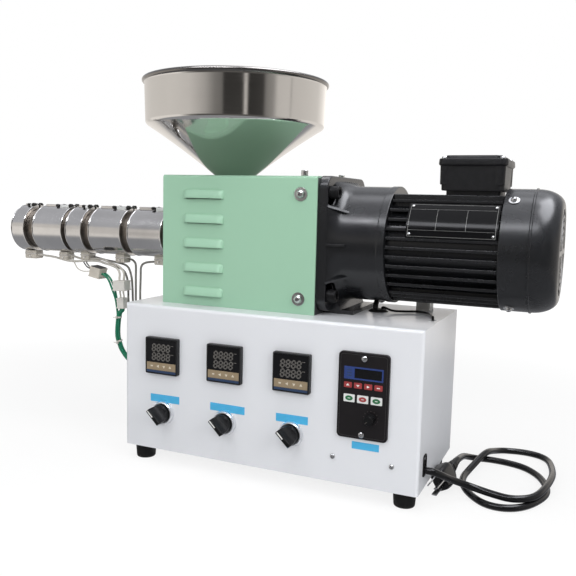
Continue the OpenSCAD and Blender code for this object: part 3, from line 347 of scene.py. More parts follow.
def fins_tree():
    """Level cooling fins, one above the other, each as wide as the round motor is at its height."""
    tree, given, end = geometry("Fins in a circle", {"Count": "Int", "Pitch": "Float", "Radius": "Float",
                                                     "Half Width": "Float", "Shape": "Object"})
    rise = calc(tree, "MULTIPLY", calc(tree, "SUBTRACT", given["Count"], 1.0), given["Pitch"])
    start = joined(tree, Z=calc(tree, "MULTIPLY", rise, -0.5))
    line = put(tree, "GeometryNodeMeshLine", {"Count": given["Count"], "Start Location": start,
                                              "Offset": joined(tree, Z=given["Pitch"])})
    place = put(tree, "GeometryNodeInputPosition").outputs[0]
    height = put(tree, "ShaderNodeSeparateXYZ", {0: place}).outputs[2]
    square = calc(tree, "SUBTRACT", calc(tree, "MULTIPLY", given["Radius"], given["Radius"]),
                  calc(tree, "MULTIPLY", height, height))
    share = calc(tree, "DIVIDE", calc(tree, "SQRT", square), given["Half Width"])
    return end(copied(tree, line.outputs[0], given["Shape"], Scale=joined(tree, X=1.0, Y=share, Z=1.0)))


def ring_tree():
    """Copies of a shape in a ring round +Z, each turned to face outwards."""
    tree, given, end = geometry("Ring of copies", {"Count": "Int", "Radius": "Float", "Shape": "Object"})
    ring = put(tree, "GeometryNodeMeshCircle", {"Vertices": given["Count"], "Radius": given["Radius"]})
    index = put(tree, "GeometryNodeInputIndex").outputs[0]
    angle = calc(tree, "MULTIPLY", index, calc(tree, "DIVIDE", 2 * pi, given["Count"]))
    rotation = put(tree, "FunctionNodeEulerToRotation", {0: joined(tree, Z=angle)})
    return end(copied(tree, ring.outputs[0], given["Shape"], Rotation=rotation.outputs[0]))


TUBE, BEADS, COPIES, FINS, RING = tube_tree(), beads_tree(), copies_tree(), fins_tree(), ring_tree()


def shown(name, mesh):
    made = bpy.data.objects.new(name, mesh)
    scene.collection.objects.link(made)
    return made


def plain(obj):
    """The evaluated object as a plain mesh, in place of the object."""
    bpy.context.view_layer.update()
    mesh = bpy.data.meshes.new_from_object(obj.evaluated_get(bpy.context.evaluated_depsgraph_get()))
    bpy.data.objects.remove(obj)
    return mesh


def modified(mesh, kind, **settings):
    """A mesh with one modifier applied to it."""
    obj = shown("rough", mesh)
    modifier = obj.modifiers.new("finish", kind)
    for name, value in settings.items():
        setattr(modifier, name, value)
    return plain(obj)


def grow(tree, base, shape=None, **sizes):
    """The mesh that a geometry tree makes from a base mesh, and from copies of a shape."""
    if shape is not None:
        sizes["Shape"] = shown("shape", as_mesh(shape))
    obj = shown("grown", base)
    modifier = obj.modifiers.new("grow", "NODES")
    modifier.node_group = tree
    for item in tree.interface.items_tree:
        name = item.name.replace(" ", "_")
        if item.in_out == "INPUT" and name in sizes:
            modifier[item.identifier] = sizes[name]
    mesh = plain(obj)
    if shape is not None:
        bpy.data.objects.remove(sizes["Shape"])
    return mesh


def line_mesh(points):
    mesh = bpy.data.meshes.new("line")
    mesh.from_pydata([tuple(p) for p in points], [(i, i + 1) for i in range(len(points) - 1)], [])
    return mesh


def point_mesh(spots, size):
    """Points for copies of one size: (place, turn in degrees) each."""
    mesh = bpy.data.meshes.new("points")
    mesh.from_pydata([tuple(place) for place, _ in spots], [], [])
    turns = [[radians(a) for a in angles] for _, angles in spots]
    for name, values in (("turned", turns), ("sized", [size] * len(spots))):
        column = mesh.attributes.new(name, "FLOAT_VECTOR", "POINT")
        for point, value in zip(column.data, values):
            point.vector = value
    return mesh


# Shapes

def as_mesh(shape):
    """A shape as a mesh with outward faces."""
    bmesh.ops.recalc_face_normals(shape, faces=shape.faces[:])
    for face in shape.faces:
        face.smooth = True
    mesh = bpy.data.meshes.new("shape")
    shape.to_mesh(mesh)
    shape.free()
    mesh.set_sharp_from_angle(angle=radians(SHARP))
    return mesh


def block(low, high, r=0.0, segments=2):
    shape = bmesh.new()
    bmesh.ops.create_cube(shape, size=1.0)
    low, high = Vector(low), Vector(high)
    shape.transform(Matrix.Translation((low + high) / 2) @ Matrix.Diagonal((*(high - low), 1.0)))
    if r:
        bmesh.ops.bevel(shape, geom=shape.edges[:], offset=r, segments=segments, profile=0.5, affect="EDGES",
                        clamp_overlap=True)
    return shape


def rounded(w, h, r, steps=6):
    """Outline of a rectangle with round corners, its middle at the origin."""
    points = []
    for cx, cy, start in ((w / 2 - r, h / 2 - r, 0), (r - w / 2, h / 2 - r, 90), (r - w / 2, r - h / 2, 180),
                          (w / 2 - r, r - h / 2, 270)):
        for k in range(steps + 1):
            x, y = polar(r, start + 90 * k / steps)
            points.append((cx + x, cy + y))
    return points


def hexagon(r):
    return [polar(r, 60 * k) for k in range(6)]


def level(outline, z):
    """A flat outline at a height."""
    return [(x, y, z) for x, y in outline]


def loft(rings, caps=True, closed=False, shape=None):
    """Skin through rings that have the same number of points, beside what a shape already has."""
    shape = bmesh.new() if shape is None else shape
    rows = [[shape.verts.new(p) for p in ring] for ring in rings]
    pairs = list(zip(rows, rows[1:])) + ([(rows[-1], rows[0])] if closed else [])
    for a, b in pairs:
        for k in range(len(a)):
            n = (k + 1) % len(a)
            shape.faces.new((a[k], a[n], b[n], b[k]))
    if caps and not closed:
        shape.faces.new(rows[0][::-1])
        shape.faces.new(rows[-1])
    return shape


def prism(outline, low, high, shape=None):
    return loft([level(outline, low), level(outline, high)], shape=shape)


def tapered(sections, steps):
    """Skin through rounded rectangles: (height, width, depth, corner radius) each."""
    return loft([level(rounded(w, h, r, steps), z) for z, w, h, r in sections])


def plate(outline, low, high, r=0.0, steps=3):
    """Plate over an outline round the origin, with its front edge rounded."""
    big = max(max(abs(x), abs(y)) for x, y in outline)

    def ring(inset, z):
        return level([(x * (1 - inset / big), y * (1 - inset / big)) for x, y in outline], z)

    arcs = [radians(90 * k / steps) for k in range(steps + 1)] if r else [0.0]
    return loft([ring(0, low)] + [ring(r * (1 - cos(a)), high - r * (1 - sin(a))) for a in arcs])


def soft(points, r, steps=4):
    """A line of points in a plane with its inner corners rounded."""
    points = [Vector(p) for p in points]
    made = [points[0]]
    for a, b, c in zip(points, points[1:], points[2:]):
        reach = min(r, 0.48 * (a - b).length, 0.48 * (c - b).length)
        p, q = b + (a - b).normalized() * reach, b + (c - b).normalized() * reach
        for k in range(steps + 1):
            t = k / steps
            made.append(p.lerp(b, t).lerp(b.lerp(q, t), t))
    return made + [points[-1]]


def lathe(profile, steps=96):
    """A profile of radius and height turned round +Z."""
    shape = bmesh.new()
    around = [(cos(2 * pi * k / steps), sin(2 * pi * k / steps)) for k in range(steps)]
    rings = []
    for r, z in profile:
        points = [(0, 0, z)] if r < 1e-6 else [(r * x, r * y, z) for x, y in around]
        rings.append([shape.verts.new(p) for p in points])
    for a, b in zip(rings, rings[1:]):
        for k in range(steps):
            n = (k + 1) % steps
            if len(a) == 1 and len(b) > 1:
                shape.faces.new((a[0], b[n], b[k]))
            elif len(b) == 1 and len(a) > 1:
                shape.faces.new((a[k], a[n], b[0]))
            elif len(a) > 1:
                shape.faces.new((a[k], a[n], b[n], b[k]))
    return shape


def arc_bar(profile, start, end, steps=72):
    """A closed profile of radius and height swept round +Z between two angles."""
    rings = []
    for k in range(steps + 1):
        x, y = polar(1.0, start + (end - start) * k / steps)
        rings.append([(r * x, r * y, z) for r, z in profile])
    return loft(rings)


def drilled(shape, *cutters):
    """A shape with others cut out of it."""
    body = shown("body", as_mesh(shape))
    tools = [shown("tool", as_mesh(cutter)) for cutter in cutters]
    for tool in tools:
        modifier = body.modifiers.new("cut", "BOOLEAN")
        modifier.operation, modifier.solver, modifier.object = "DIFFERENCE", "EXACT", tool
    mesh = plain(body)
    for tool in tools:
        bpy.data.objects.remove(tool)
    made = bmesh.new()
    made.from_mesh(mesh)
    bpy.data.meshes.remove(mesh)
    return made


class Piece:
    """Shapes in millimetres of the cabinet's corner frame, gathered as one mesh."""

    def __init__(self, name):
        self.name, self.shape, self.finishes = name, bmesh.new(), []

    def mesh(self, mesh, worn, place=None):
        """Adds a mesh in one finish."""
        if worn not in self.finishes:
            self.finishes.append(worn)
        if place is not None:
            mesh.transform(place)
        for face in mesh.polygons:
            face.material_index = self.finishes.index(worn)
        self.shape.from_mesh(mesh)
        bpy.data.meshes.remove(mesh)

    def add(self, shape, worn, place=None):
        self.mesh(as_mesh(shape), worn, place)

    def grown(self, tree, base, worn, shape=None, place=None, **sizes):
        """Adds what a geometry tree makes."""
        self.mesh(grow(tree, base, shape, Material=worn, **sizes), worn, place)

    def copies(self, shape, worn, spots, size=(1, 1, 1), place=None):
        """Adds a shape at each spot: (place, turn in degrees)."""
        self.grown(COPIES, point_mesh(spots, size), worn, shape, place)

    def ring(self, shape, worn, count, radius, place):
        """Adds a shape a number of times round +Z of a place."""
        self.grown(RING, line_mesh([(0, 0, 0)]), worn, shape, place, Count=count, Radius=radius)

    def tube(self, points, d, worn, sides=16, spacing=2.0):
        """Adds a tube along points."""
        rings = max(3, int(length_of([Vector(p) for p in points]) / spacing))
        self.grown(TUBE, line_mesh(points), worn, Radius=d / 2, Sides=sides, Rings=rings)

    def done(self, body="root", replaces=(), angle=SHARP, bevel=0.0):
        """The finished piece, in the row frame and riding on its body."""
        self.shape.transform(TO_ROW)
        mesh = bpy.data.meshes.new(self.name)
        self.shape.to_mesh(mesh)
        self.shape.free()
        for material in self.finishes:
            mesh.materials.append(material)
        for face in mesh.polygons:
            face.use_smooth = True
        if bevel:
            mesh = modified(mesh, "BEVEL", width=bevel * 0.001, segments=2, limit_method="ANGLE",
                            angle_limit=radians(angle))
        mesh.set_sharp_from_angle(angle=radians(angle))
        mesh = modified(mesh, "WEIGHTED_NORMAL", keep_sharp=True)
        mesh.name = self.name
        obj = shown(self.name, mesh)
        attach(obj, body)
        if replaces:
            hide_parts(*replaces)
        return obj


def smooth_route(route, steps=8):
    """Points along a smooth curve through a route."""
    route = [Vector(p) for p in route]
    last, made = len(route) - 1, []
    for i in range(last):
        a, b, c, d = route[max(i - 1, 0)], route[i], route[i + 1], route[min(i + 2, last)]
        for k in range(steps):
            t = k / steps
            made.append(0.5 * (2 * b + (c - a) * t + (2 * a - 5 * b + 4 * c - d) * t ** 2
                               + (3 * b - a - 3 * c + d) * t ** 3))
    return made + [route[last]]


def length_of(points):
    return sum((b - a).length for a, b in zip(points, points[1:]))


# Camera, light and floor

def set_camera():
    """The photograph's camera, as fitted to the edges in it."""
    yaw, pitch, roll = (radians(a) for a in (23.58, 6.89, 1.41))
    look = Vector((-sin(yaw) * cos(pitch), cos(yaw) * cos(pitch), -sin(pitch)))
    side = Vector((cos(yaw), sin(yaw), 0.0))
    up = side.cross(look)
    side, up = side * cos(roll) + up * sin(roll), up * cos(roll) - side * sin(roll)
    data = bpy.data.cameras.new("camera")
    data.lens, data.sensor_width = 44.78, 36.0
    data.clip_start, data.clip_end = 0.01, 100.0
    camera = shown("camera", data)
    matrix = Matrix((side, up, -look)).transposed().to_4x4()
    matrix.translation = (0.4466, -0.87835, 0.3499)
    camera.matrix_world = matrix
    scene.camera = camera


def area_light(name, place, aim, size, power):
    data = bpy.data.lights.new(name, "AREA")
    data.shape, data.size, data.size_y, data.energy = "RECTANGLE", size[0], size[1], power
    light = shown(name, data)
    light.location = place
    light.rotation_mode = "QUATERNION"
    light.rotation_quaternion = (Vector(aim) - Vector(place)).to_track_quat("-Z", "Y")
    light.visible_glossy = False


def seen_directly(tree):
    """Light Path's share of rays that show the background itself."""
    path = put(tree, "ShaderNodeLightPath").outputs
    return calc(tree, "MAXIMUM", calc(tree, "MAXIMUM", path["Is Camera Ray"], path["Is Glossy Ray"]),
                path["Is Transmission Ray"])


def set_stage():
    """White surroundings, a pale floor that keeps the shadow, and four soft lamps."""
    scene.world = bpy.data.worlds.new("studio")
    tree = blank(scene.world)
    fill = put(tree, "ShaderNodeBackground", {"Color": (0.96, 0.98, 1.0, 1.0), "Strength": 0.30})
    white = put(tree, "ShaderNodeBackground", {"Color": WHITE, "Strength": 1.0})
    both = put(tree, "ShaderNodeMixShader", {0: seen_directly(tree), 1: fill.outputs[0], 2: white.outputs[0]})
    put(tree, "ShaderNodeOutputWorld", {"Surface": both.outputs[0]})

    mesh = bpy.data.meshes.new("floor")
    mesh.from_pydata([(-20, -20, 0), (20, -20, 0), (20, 20, 0), (-20, 20, 0)], [], [(0, 1, 2, 3)])
    floor = shown("floor", mesh)
    pale = bpy.data.materials.new("Pale floor")
    tree = blank(pale)
    lit = put(tree, "ShaderNodeBsdfDiffuse", {"Color": (0.76, 0.76, 0.76, 1.0)})
    glow = put(tree, "ShaderNodeEmission", {"Color": WHITE, "Strength": 1.08})
    away = put(tree, "ShaderNodeVectorMath", {0: own_place(tree)}, operation="LENGTH")
    far = mapped(tree, away.outputs["Value"], 0.5, 1.4, 0.76, 1.0, interpolation_type="SMOOTHSTEP")
    both = put(tree, "ShaderNodeMixShader", {0: calc(tree, "MULTIPLY", seen_directly(tree), far),
                                             1: lit.outputs[0], 2: glow.outputs[0]})
    put(tree, "ShaderNodeOutputMaterial", {"Surface": both.outputs[0]})
    mesh.materials.append(pale)

    area_light("key", (-0.35, -1.55, 1.9), (0.0, 0.0, 0.25), (2.4, 1.1), 8.6)
    area_light("side", (1.9, -0.9, 1.0), (0.1, 0.0, 0.25), (1.0, 1.4), 17.0)
    area_light("top", (0.15, -0.45, 2.3), (0.0, 0.0, 0.2), (2.2, 1.4), 21.0)
    area_light("front", (0.45, -1.8, 1.05), (0.15, 0.0, 0.2), (1.8, 0.7), 12.2)


def ramp(tree, value, stops, tint):
    """Greys of a tint at angles in degrees."""
    made = put(tree, "ShaderNodeValToRGB", {0: value})
    line = made.color_ramp
    while len(line.elements) < len(stops):
        line.elements.new(0.5)
    for element, (angle, grey) in zip(line.elements, stops):
        element.position = (angle + 180.0) / 360.0
        element.color = (tint[0] * grey, tint[1] * grey, tint[2] * grey, 1.0)
    return made.outputs[0]


# Rings of the studio walls: radius and height in metres, and the rise that the layers of grey go by
WALL_RINGS = ((0.12, 0.003, -2.0), (0.75, 0.003, -1.4), (1.1, 0.003, -1.0), (3.0, 0.003, 0.0), (3.0, 3.0, 3.0),
              (1.9, 3.7, 3.8), (0.01, 4.0, 5.6))
WALL_STEPS, WARM, COOL = 96, (1.0, 0.955, 0.905), (0.95, 0.965, 1.02)

# Layers of grey, each from one rise to another: tint, and greys at angles round the object from its front
# The lowest layer is the floor ring, dark in front: painted shade seen only in reflections. Greys far above 1 are
# glowing strips that paint highlights.
WALL_LAYERS = [
    (-1.4, -1.0, WARM, [(-180, 0.95), (-128, 0.95), (-112, 0.75), (-100, 1.0), (-45, 1.0), (-30, 0.3), (-18, 0.12),
                        (60, 0.12), (78, 0.5), (100, 0.75), (128, 0.95), (180, 0.95)]),
    (0.35, 0.62, WARM, [(-180, 1.3), (-150, 1.25), (-135, 0.80), (-60, 0.80), (-30, 0.74), (-10, 0.50), (2, 0.26),
                        (11, 0.20), (13, 0.045), (36, 0.05), (38, 0.70), (40, 0.70), (42, 0.035), (60, 0.06),
                        (64, 0.26), (73, 0.36), (79, 0.70), (96, 0.74), (98, 0.40), (99, 0.72), (150, 0.84),
                        (180, 1.3)]),
    (0.95, 1.35, COOL, [(-180, 0.60), (-42, 0.60), (-34, 0.18), (60, 0.18), (75, 0.55), (180, 0.55)]),
    (2.62, 2.7, COOL, [(-180, 1.4), (-140, 0.55), (-42, 0.60), (-34, 0.18), (60, 0.18), (75, 0.55), (140, 0.55),
                       (150, 1.4), (180, 1.4)]),
    (2.96, 3.02, COOL, [(-180, 1.4), (-140, 0.55), (-42, 0.6), (-33, 14.0), (20, 14.0), (28, 0.3), (75, 0.55),
                        (140, 0.55), (150, 1.4), (180, 1.4)]),
    (3.26, 3.34, COOL, [(-180, 1.4), (-140, 0.55), (-48, 0.55), (-36, 1.5), (36, 1.5), (48, 9.0), (142, 9.0),
                        (156, 1.4), (180, 1.4)]),
    (3.8, 4.1, COOL, [(-180, 3.2), (-112, 3.2), (-96, 1.5), (36, 1.5), (48, 9.0), (142, 9.0), (156, 3.2),
                      (180, 3.2)]),
    (4.7, 5.0, COOL, [(-180, 1.8), (180, 1.8)])]


def set_walls():
    """Glowing walls and roof round the object with lighter and darker parts, bright strips that stand in for lamps, and
    a dark ring on the floor, all seen in shiny surfaces only: painted reflections and highlights, while the floor the
    camera sees stays pale.
    """
    steps = WALL_STEPS
    around = [2 * pi * k / steps for k in range(steps)]
    mesh = bpy.data.meshes.new("walls")
    mesh.from_pydata([(r * sin(a), r * cos(a), z) for r, z, _ in WALL_RINGS for a in around], [],
                     [(n * steps + k, n * steps + (k + 1) % steps, (n + 1) * steps + (k + 1) % steps,
                       (n + 1) * steps + k) for n in range(len(WALL_RINGS) - 1) for k in range(steps)])
    rise = mesh.attributes.new("rise", "FLOAT", "POINT")
    for k, point in enumerate(rise.data):
        point.value = WALL_RINGS[k // steps][2]
    walls = shown("walls", mesh)
    grey = bpy.data.materials.new("Painted reflection walls")
    tree = blank(grey)
    parts = put(tree, "ShaderNodeSeparateXYZ", {0: own_place(tree)}).outputs
    angle = calc(tree, "ARCTAN2", parts[0], calc(tree, "MULTIPLY", parts[1], -1.0))
    around = mapped(tree, angle, -pi, pi)
    height = put(tree, "ShaderNodeAttribute", attribute_name="rise").outputs["Fac"]
    tone = ramp(tree, around, [(-180, 0.36), (180, 0.36)], COOL)
    for low, high, tint, stops in WALL_LAYERS:
        share = mapped(tree, height, low, high, interpolation_type="SMOOTHSTEP")
        tone = mixed(tree, share, tone, ramp(tree, around, stops, tint))
    glow = put(tree, "ShaderNodeEmission", {"Color": tone, "Strength": 1.0})
    put(tree, "ShaderNodeOutputMaterial", {"Surface": glow.outputs[0]})
    mesh.materials.append(grey)
    walls.visible_camera = walls.visible_diffuse = walls.visible_shadow = walls.visible_transmission = False


set_camera()
set_stage()
set_walls()


# Mains cord and plug

CORD_D = 8.5
CORD_ROUTE = [
    (10, 28, 43), (19, 37, 37), (28, 50, 29), (40, 61, 22), (55, 66, 17), (73, 66, 14), (91, 64, 13), (105, 68, 13),
    (117, 79, 13), (125, 95, 14), (131, 125, 14), (134, 162, 12), (132, 202, 7), (126, 238, 4), (115, 255, 4),
    (99, 262, 4), (81, 262, 4), (65, 256, 5), (54, 240, 8), (48, 214, 14), (43, 195, 14), (36, 168, 9), (30, 142, 4),
    (31, 114, 4), (39, 90, 4), (52, 70, 4), (66, 57, 4), (81, 53, 4), (96, 57, 4), (109, 68, 4), (120, 86, 4),
    (129, 112, 4), (130, 136, 4), (123, 163, 4), (112, 184, 4), (95, 201, 4), (72, 209, 4), (49, 210, 4), (34, 206, 5),
    (25, 195, 9), (20, 176, 15), (19, 140, 22)]
CORD_INSIDE, CORD_STUB, GAP = (-1.9, 28, 43), 4.0, 0.1
PLUG_TURN, PLUG_TILT, PLUG_ROLL = 8.0, 6.0, 119.0


def make_cord():
    """The cord along its route on the floor, with its plug."""
    turned, tilted = radians(PLUG_TURN), radians(PLUG_TILT)
    along = Vector((-sin(turned) * cos(tilted), -cos(turned) * cos(tilted), -sin(tilted)))
    low = CORD_D / 2 + GAP
    laid = [Vector((p.x, p.y, max(p.z, low))) for p in smooth_route(CORD_ROUTE)]
    end = Vector(CORD_ROUTE[-1]) + CORD_STUB * along
    corner = Vector((CABINET_W, 0, -FOOT_H))
    path = [p + corner for p in (Vector(CORD_INSIDE), *laid, end)]
    sheath = Piece("mains_cord")
    sheath.tube(path, CORD_D, CORD_RUBBER, 20, 2.5)
    cord = sheath.done(replaces=["power_cord"])
    row_path = [TO_ROW @ p for p in path]
    plug = make_plug(at(*(end + corner + GAP * along)) @ turn(-PLUG_TURN, "Z") @ turn(90 + PLUG_TILT, "X")
                     @ turn(PLUG_ROLL, "Z"))
    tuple(row_path[0])
    round(length_of(row_path), 3)


def make_plug(place):
    """Plug with its ribbed strain relief and three flat blades."""
    plug = Piece("mains_plug")
    relief = [(0, 0), (4.75, 0), (4.9, 9)]
    for k in range(4):
        r, z = 5.0 + 0.5 * k, 9.5 + 3.8 * k
        relief += [(r + 0.8, z), (r + 0.8, z + 2.2), (r - 0.2, z + 2.5), (r - 0.2, z + 3.5)]
    relief += [(6.6, 25.5), (0, 25.5)]
    plug.add(lathe(soft(relief, 0.5, 2), 32), CORD_RUBBER, place)
    sections = [(24.5, 13, 13, 6.2), (26, 15, 14, 6.2), (30, 19, 16, 5.8), (35, 24.5, 19, 5.5), (39, 27, 20, 5.5),
                (54, 27, 20, 5.5), (60, 26, 19, 5.5), (62.5, 25, 18, 5.0), (63.5, 23, 16, 4.0)]
    plug.add(tapered(sections, 5), CORD_RUBBER, place)
    for x, y, lean, long in ((-6.9, 1.5, -30, 24), (6.9, 1.5, 30, 24), (0, -5.4, 0, 25)):
        plug.add(block((-0.8, -3.1, 0), (0.8, 3.1, long), 0.5, 2), SCREW_STEEL, place @ at(x, y, 63) @ turn(lean, "Z"))
    return plug.done(replaces=["power_plug"])


make_cord()


# Cabinet, feet and panel

def wear_cad(worn, *nodes):
    """Puts a finish on CAD nodes that show as they are."""
    for name in nodes:
        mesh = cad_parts[name].data
        mesh.materials.clear()
        mesh.materials.append(worn)


wear_cad(WHITE_COAT, "cabinet_shell", "cabinet_base")
wear_cad(CASTING, "bearing_housing")
wear_cad(BARREL_STEEL, "barrel", "feed_screw")
wear_cad(FOOT_RUBBER, "wire_grommet", "lead_grommet")
wear_cad(BLACK_MOULD, "cord_clamp")
wear_cad(CONNECTOR, "lead_block")


def make_feet():
    shape = lathe(soft([(0, 3.5), (4, 3.5), (4.6, 0), (12.5, 0), (14, 20), (0, 20)], 2.2, 5), 48)
    feet = Piece("feet")
    feet.copies(shape, FOOT_RUBBER, [((x, y, -FOOT_H), (0, 0, 0)) for x in (19.5, 380.5) for y in (19.5, 170.5)])
    feet.done(replaces=["foot_front_left", "foot_front_right", "foot_back_left", "foot_back_right"])


def pan_screw(d, rise, cross=True):
    """Round headed screw that stands on z 0, with a cross recess if asked."""
    r = d / 2
    head = lathe([(0, 0), (r, 0), (r, 0.25 * rise), (0.93 * r, 0.55 * rise), (0.72 * r, 0.85 * rise), (0.4 * r, rise),
                  (0, 1.03 * rise)], 32)
    if not cross:
        return head
    arm, wide = 0.62 * r, 0.13 * r
    return drilled(head, block((-arm, -wide, 0.45 * rise), (arm, wide, 2 * rise)),
                   block((-wide, -arm, 0.45 * rise), (wide, arm, 2 * rise)))


def cap_screw(d, rise, socket):
    """Cylinder head with a six sided socket."""
    r = d / 2
    head = lathe(soft([(0, 0), (r, 0), (r, rise), (0, rise)], 0.09 * d, 3), 32)
    return drilled(head, prism(hexagon(socket / 2), 0.45 * rise, 2 * rise))


def make_slot_edging():
    """Rubber edging round the slot that the mains cord comes out of."""
    rings = []
    for grow_by, up in ((2.6, 0.0), (2.6, 0.9), (2.0, 1.4), (0.6, 1.4), (0.0, 0.9), (0.0, -1.6)):
        rings.append(level(rounded(10 + 2 * grow_by, 21 + 2 * grow_by, 1.5 + grow_by, 4), up))
    edging = Piece("slot_edging")
    edging.add(loft(rings, caps=False), FOOT_RUBBER, at(CABINET_W, 28, 29) @ turn(90, "Z") @ turn(90, "X"))
    edging.done()


def make_panel_trim():
    """Bare labels and the small screws of the cabinet's front."""
    labels = Piece("bare_labels")
    for x0, x1, z0, z1, lean in ((40, 84, 64.5, 74.5, 0.6), (130, 179, 64.5, 74.5, -0.3), (222, 264, 64, 74, 0.5),
                                 (320, 353, 45.3, 54, 0.4)):
        labels.add(plate(rounded(x1 - x0, z1 - z0, 0.4, 2), 0.0, 0.25), LABEL_BLUE,
                   on_panel((x0 + x1) / 2, (z0 + z1) / 2) @ turn(lean, "Z"))
    labels.done()
    screws = Piece("front_screws")
    screws.copies(pan_screw(6.4, 2.4), SCREW_STEEL, [((296.7, 0, 31.5), (90, 20, 0)), ((368.6, 0, 31.0), (90, 55, 0))])
    screws.done()


def digit():
    """Seven slanted bars of an unlit digit, in a 5.2 by 9.4 field."""
    shape = bmesh.new()
    lean, half, end, side = 0.10, 0.86, 1.85, 2.1
    flat = [(-end, 0), (half - end, half), (end - half, half), (end, 0), (end - half, -half), (half - end, -half)]
    upright = [(y, x) for x, y in flat]
    bars = [(0, 2 * side, flat), (0, 0, flat), (0, -2 * side, flat)]
    bars += [(x, y, upright) for x in (side, -side) for y in (side, -side)]
    for cx, cy, outline in bars:
        prism([(cx + x + lean * (cy + y), cy + y) for x, y in outline], 0, 0.12, shape)
    return shape


def make_controller(i):
    """Face of a temperature controller: window with unlit digits, keys and a strip."""
    place = on_panel(CONTROLLERS[i], CONTROLLER_Z)
    face = Piece("controller_%d" % (i + 1))
    rim = [(0, 48, 1.6), (6.0, 48, 1.6), (6.7, 47.5, 1.6), (7.0, 46.6, 1.6), (7.0, 44.6, 1.0), (6.3, 44.0, 0.8)]
    face.add(tapered([(z, w, w, r) for z, w, r in rim], 4), BLACK_MOULD, place)
    face.add(block((-22.3, -22.3, -60), (22.3, 22.3, 0.5), 0.6), BLACK_MOULD, place)
    face.add(block((-21.9, -8.4, 6.0), (21.9, 21.9, 6.5), 0.1), SCREEN_BLACK, place)
    face.add(block((-21.9, -18.6, 6.0), (21.9, -8.6, 6.55), 0.12), KEY_TAN, place)
    face.add(block((-21.9, -21.9, 6.0), (21.9, -18.8, 6.5), 0.1), STRIP_BLUE, place)
    rows = [((-10.8 + 7.1 * k, y, 6.5), (0, 0, 0)) for y in (10.9, -0.6) for k in range(4)]
    face.copies(digit(), DIGIT_GREY, rows, (1.08, 1.06, 1), place)
    marks = [((-1.6, 0.9), (1.6, 0.9), (1.6, -0.9), (-1.6, -0.9)), ((-1.9, 0), (1.5, 1.9), (1.5, -1.9)),
             ((-1.9, 1.2), (1.9, 1.2), (0, -2.1)), ((-1.9, -1.2), (0, 2.1), (1.9, -1.2))]
    for k, mark in enumerate(marks):
        where = place @ at(-13.9 + 9.2 * k, -13.4, 0)
        face.add(plate(rounded(6.2, 6.2, 1.2, 3), 6.4, 6.85, 0.2, 2), KEY_TAN, where)
        face.add(prism(mark, 6.8, 6.95), KEY_MARK, where)
    for y in (14.8, 3.3):
        face.add(lathe([(0, 6.5), (0.6, 6.5), (0.6, 6.62), (0, 6.62)], 12), DIGIT_GREY, place @ at(15.2, y, 0))
        face.add(block((16.2, y - 0.5, 6.45), (18.4, y + 0.5, 6.6)), DIGIT_GREY, place)
    face.done(replaces=["temperature_controller_%d" % (i + 1)])


def make_selector(i):
    """Plated ring of a selector switch, and the knob that turns in it."""
    place = on_panel(CONTROLLERS[i], SELECTOR_Z)
    ring = Piece("selector_ring_%d" % (i + 1))
    ring.add(lathe(soft([(5.05, -24), (10.8, -24), (10.8, 0), (15.4, 0), (15.3, 3.6), (14.2, 6.0), (12.8, 6.0),
                         (12.6, 3.0), (5.05, 3.0)], 0.5, 2), 64), RING_METAL, place)
    ring.done(replaces=["selector_bezel_%d" % (i + 1)])
    name = "selector_knob_%d" % (i + 1)
    knob = Piece("selector_handle_%d" % (i + 1))
    disc = [(0, -24), (4.95, -24), (4.95, 3.3), (12, 3.3), (12, 9.6), (10.4, 11.6), (0, 12.2)]
    knob.add(lathe(soft(disc, 0.9, 3), 64), KNOB_BLACK, place)
    fin = loft([level(fin_outline(half, r), z)
                for z, half, r in ((3.6, 11.4, 12.0), (9.6, 11.4, 12.0), (11.0, 10.2, 12.0), (12.6, 7.8, 12.0),
                                   (14.6, 5.8, 12.0), (17.5, 4.3, 12.0), (21, 3.4, 12.0), (24.8, 2.9, 11.9),
                                   (25.6, 2.5, 11.6), (26.0, 1.9, 11.0))])
    leaning = place @ turn(45, "Z")
    knob.add(fin, KNOB_BLACK, leaning)
    knob.add(block((-0.8, 0.2, 25.6), (0.8, 10.8, 26.12), 0.08), PRINT_WHITE, leaning)
    knob.done(name, [name])


def fin_outline(half, r, steps=8):
    """Long outline with flat sides and ends on a circle."""
    edge = asin(half / r)
    points = []
    for start in (90, 270):
        for k in range(steps + 1):
            angle = radians(start) - edge + 2 * edge * k / steps
            points.append((r * cos(angle), r * sin(angle)))
    return points


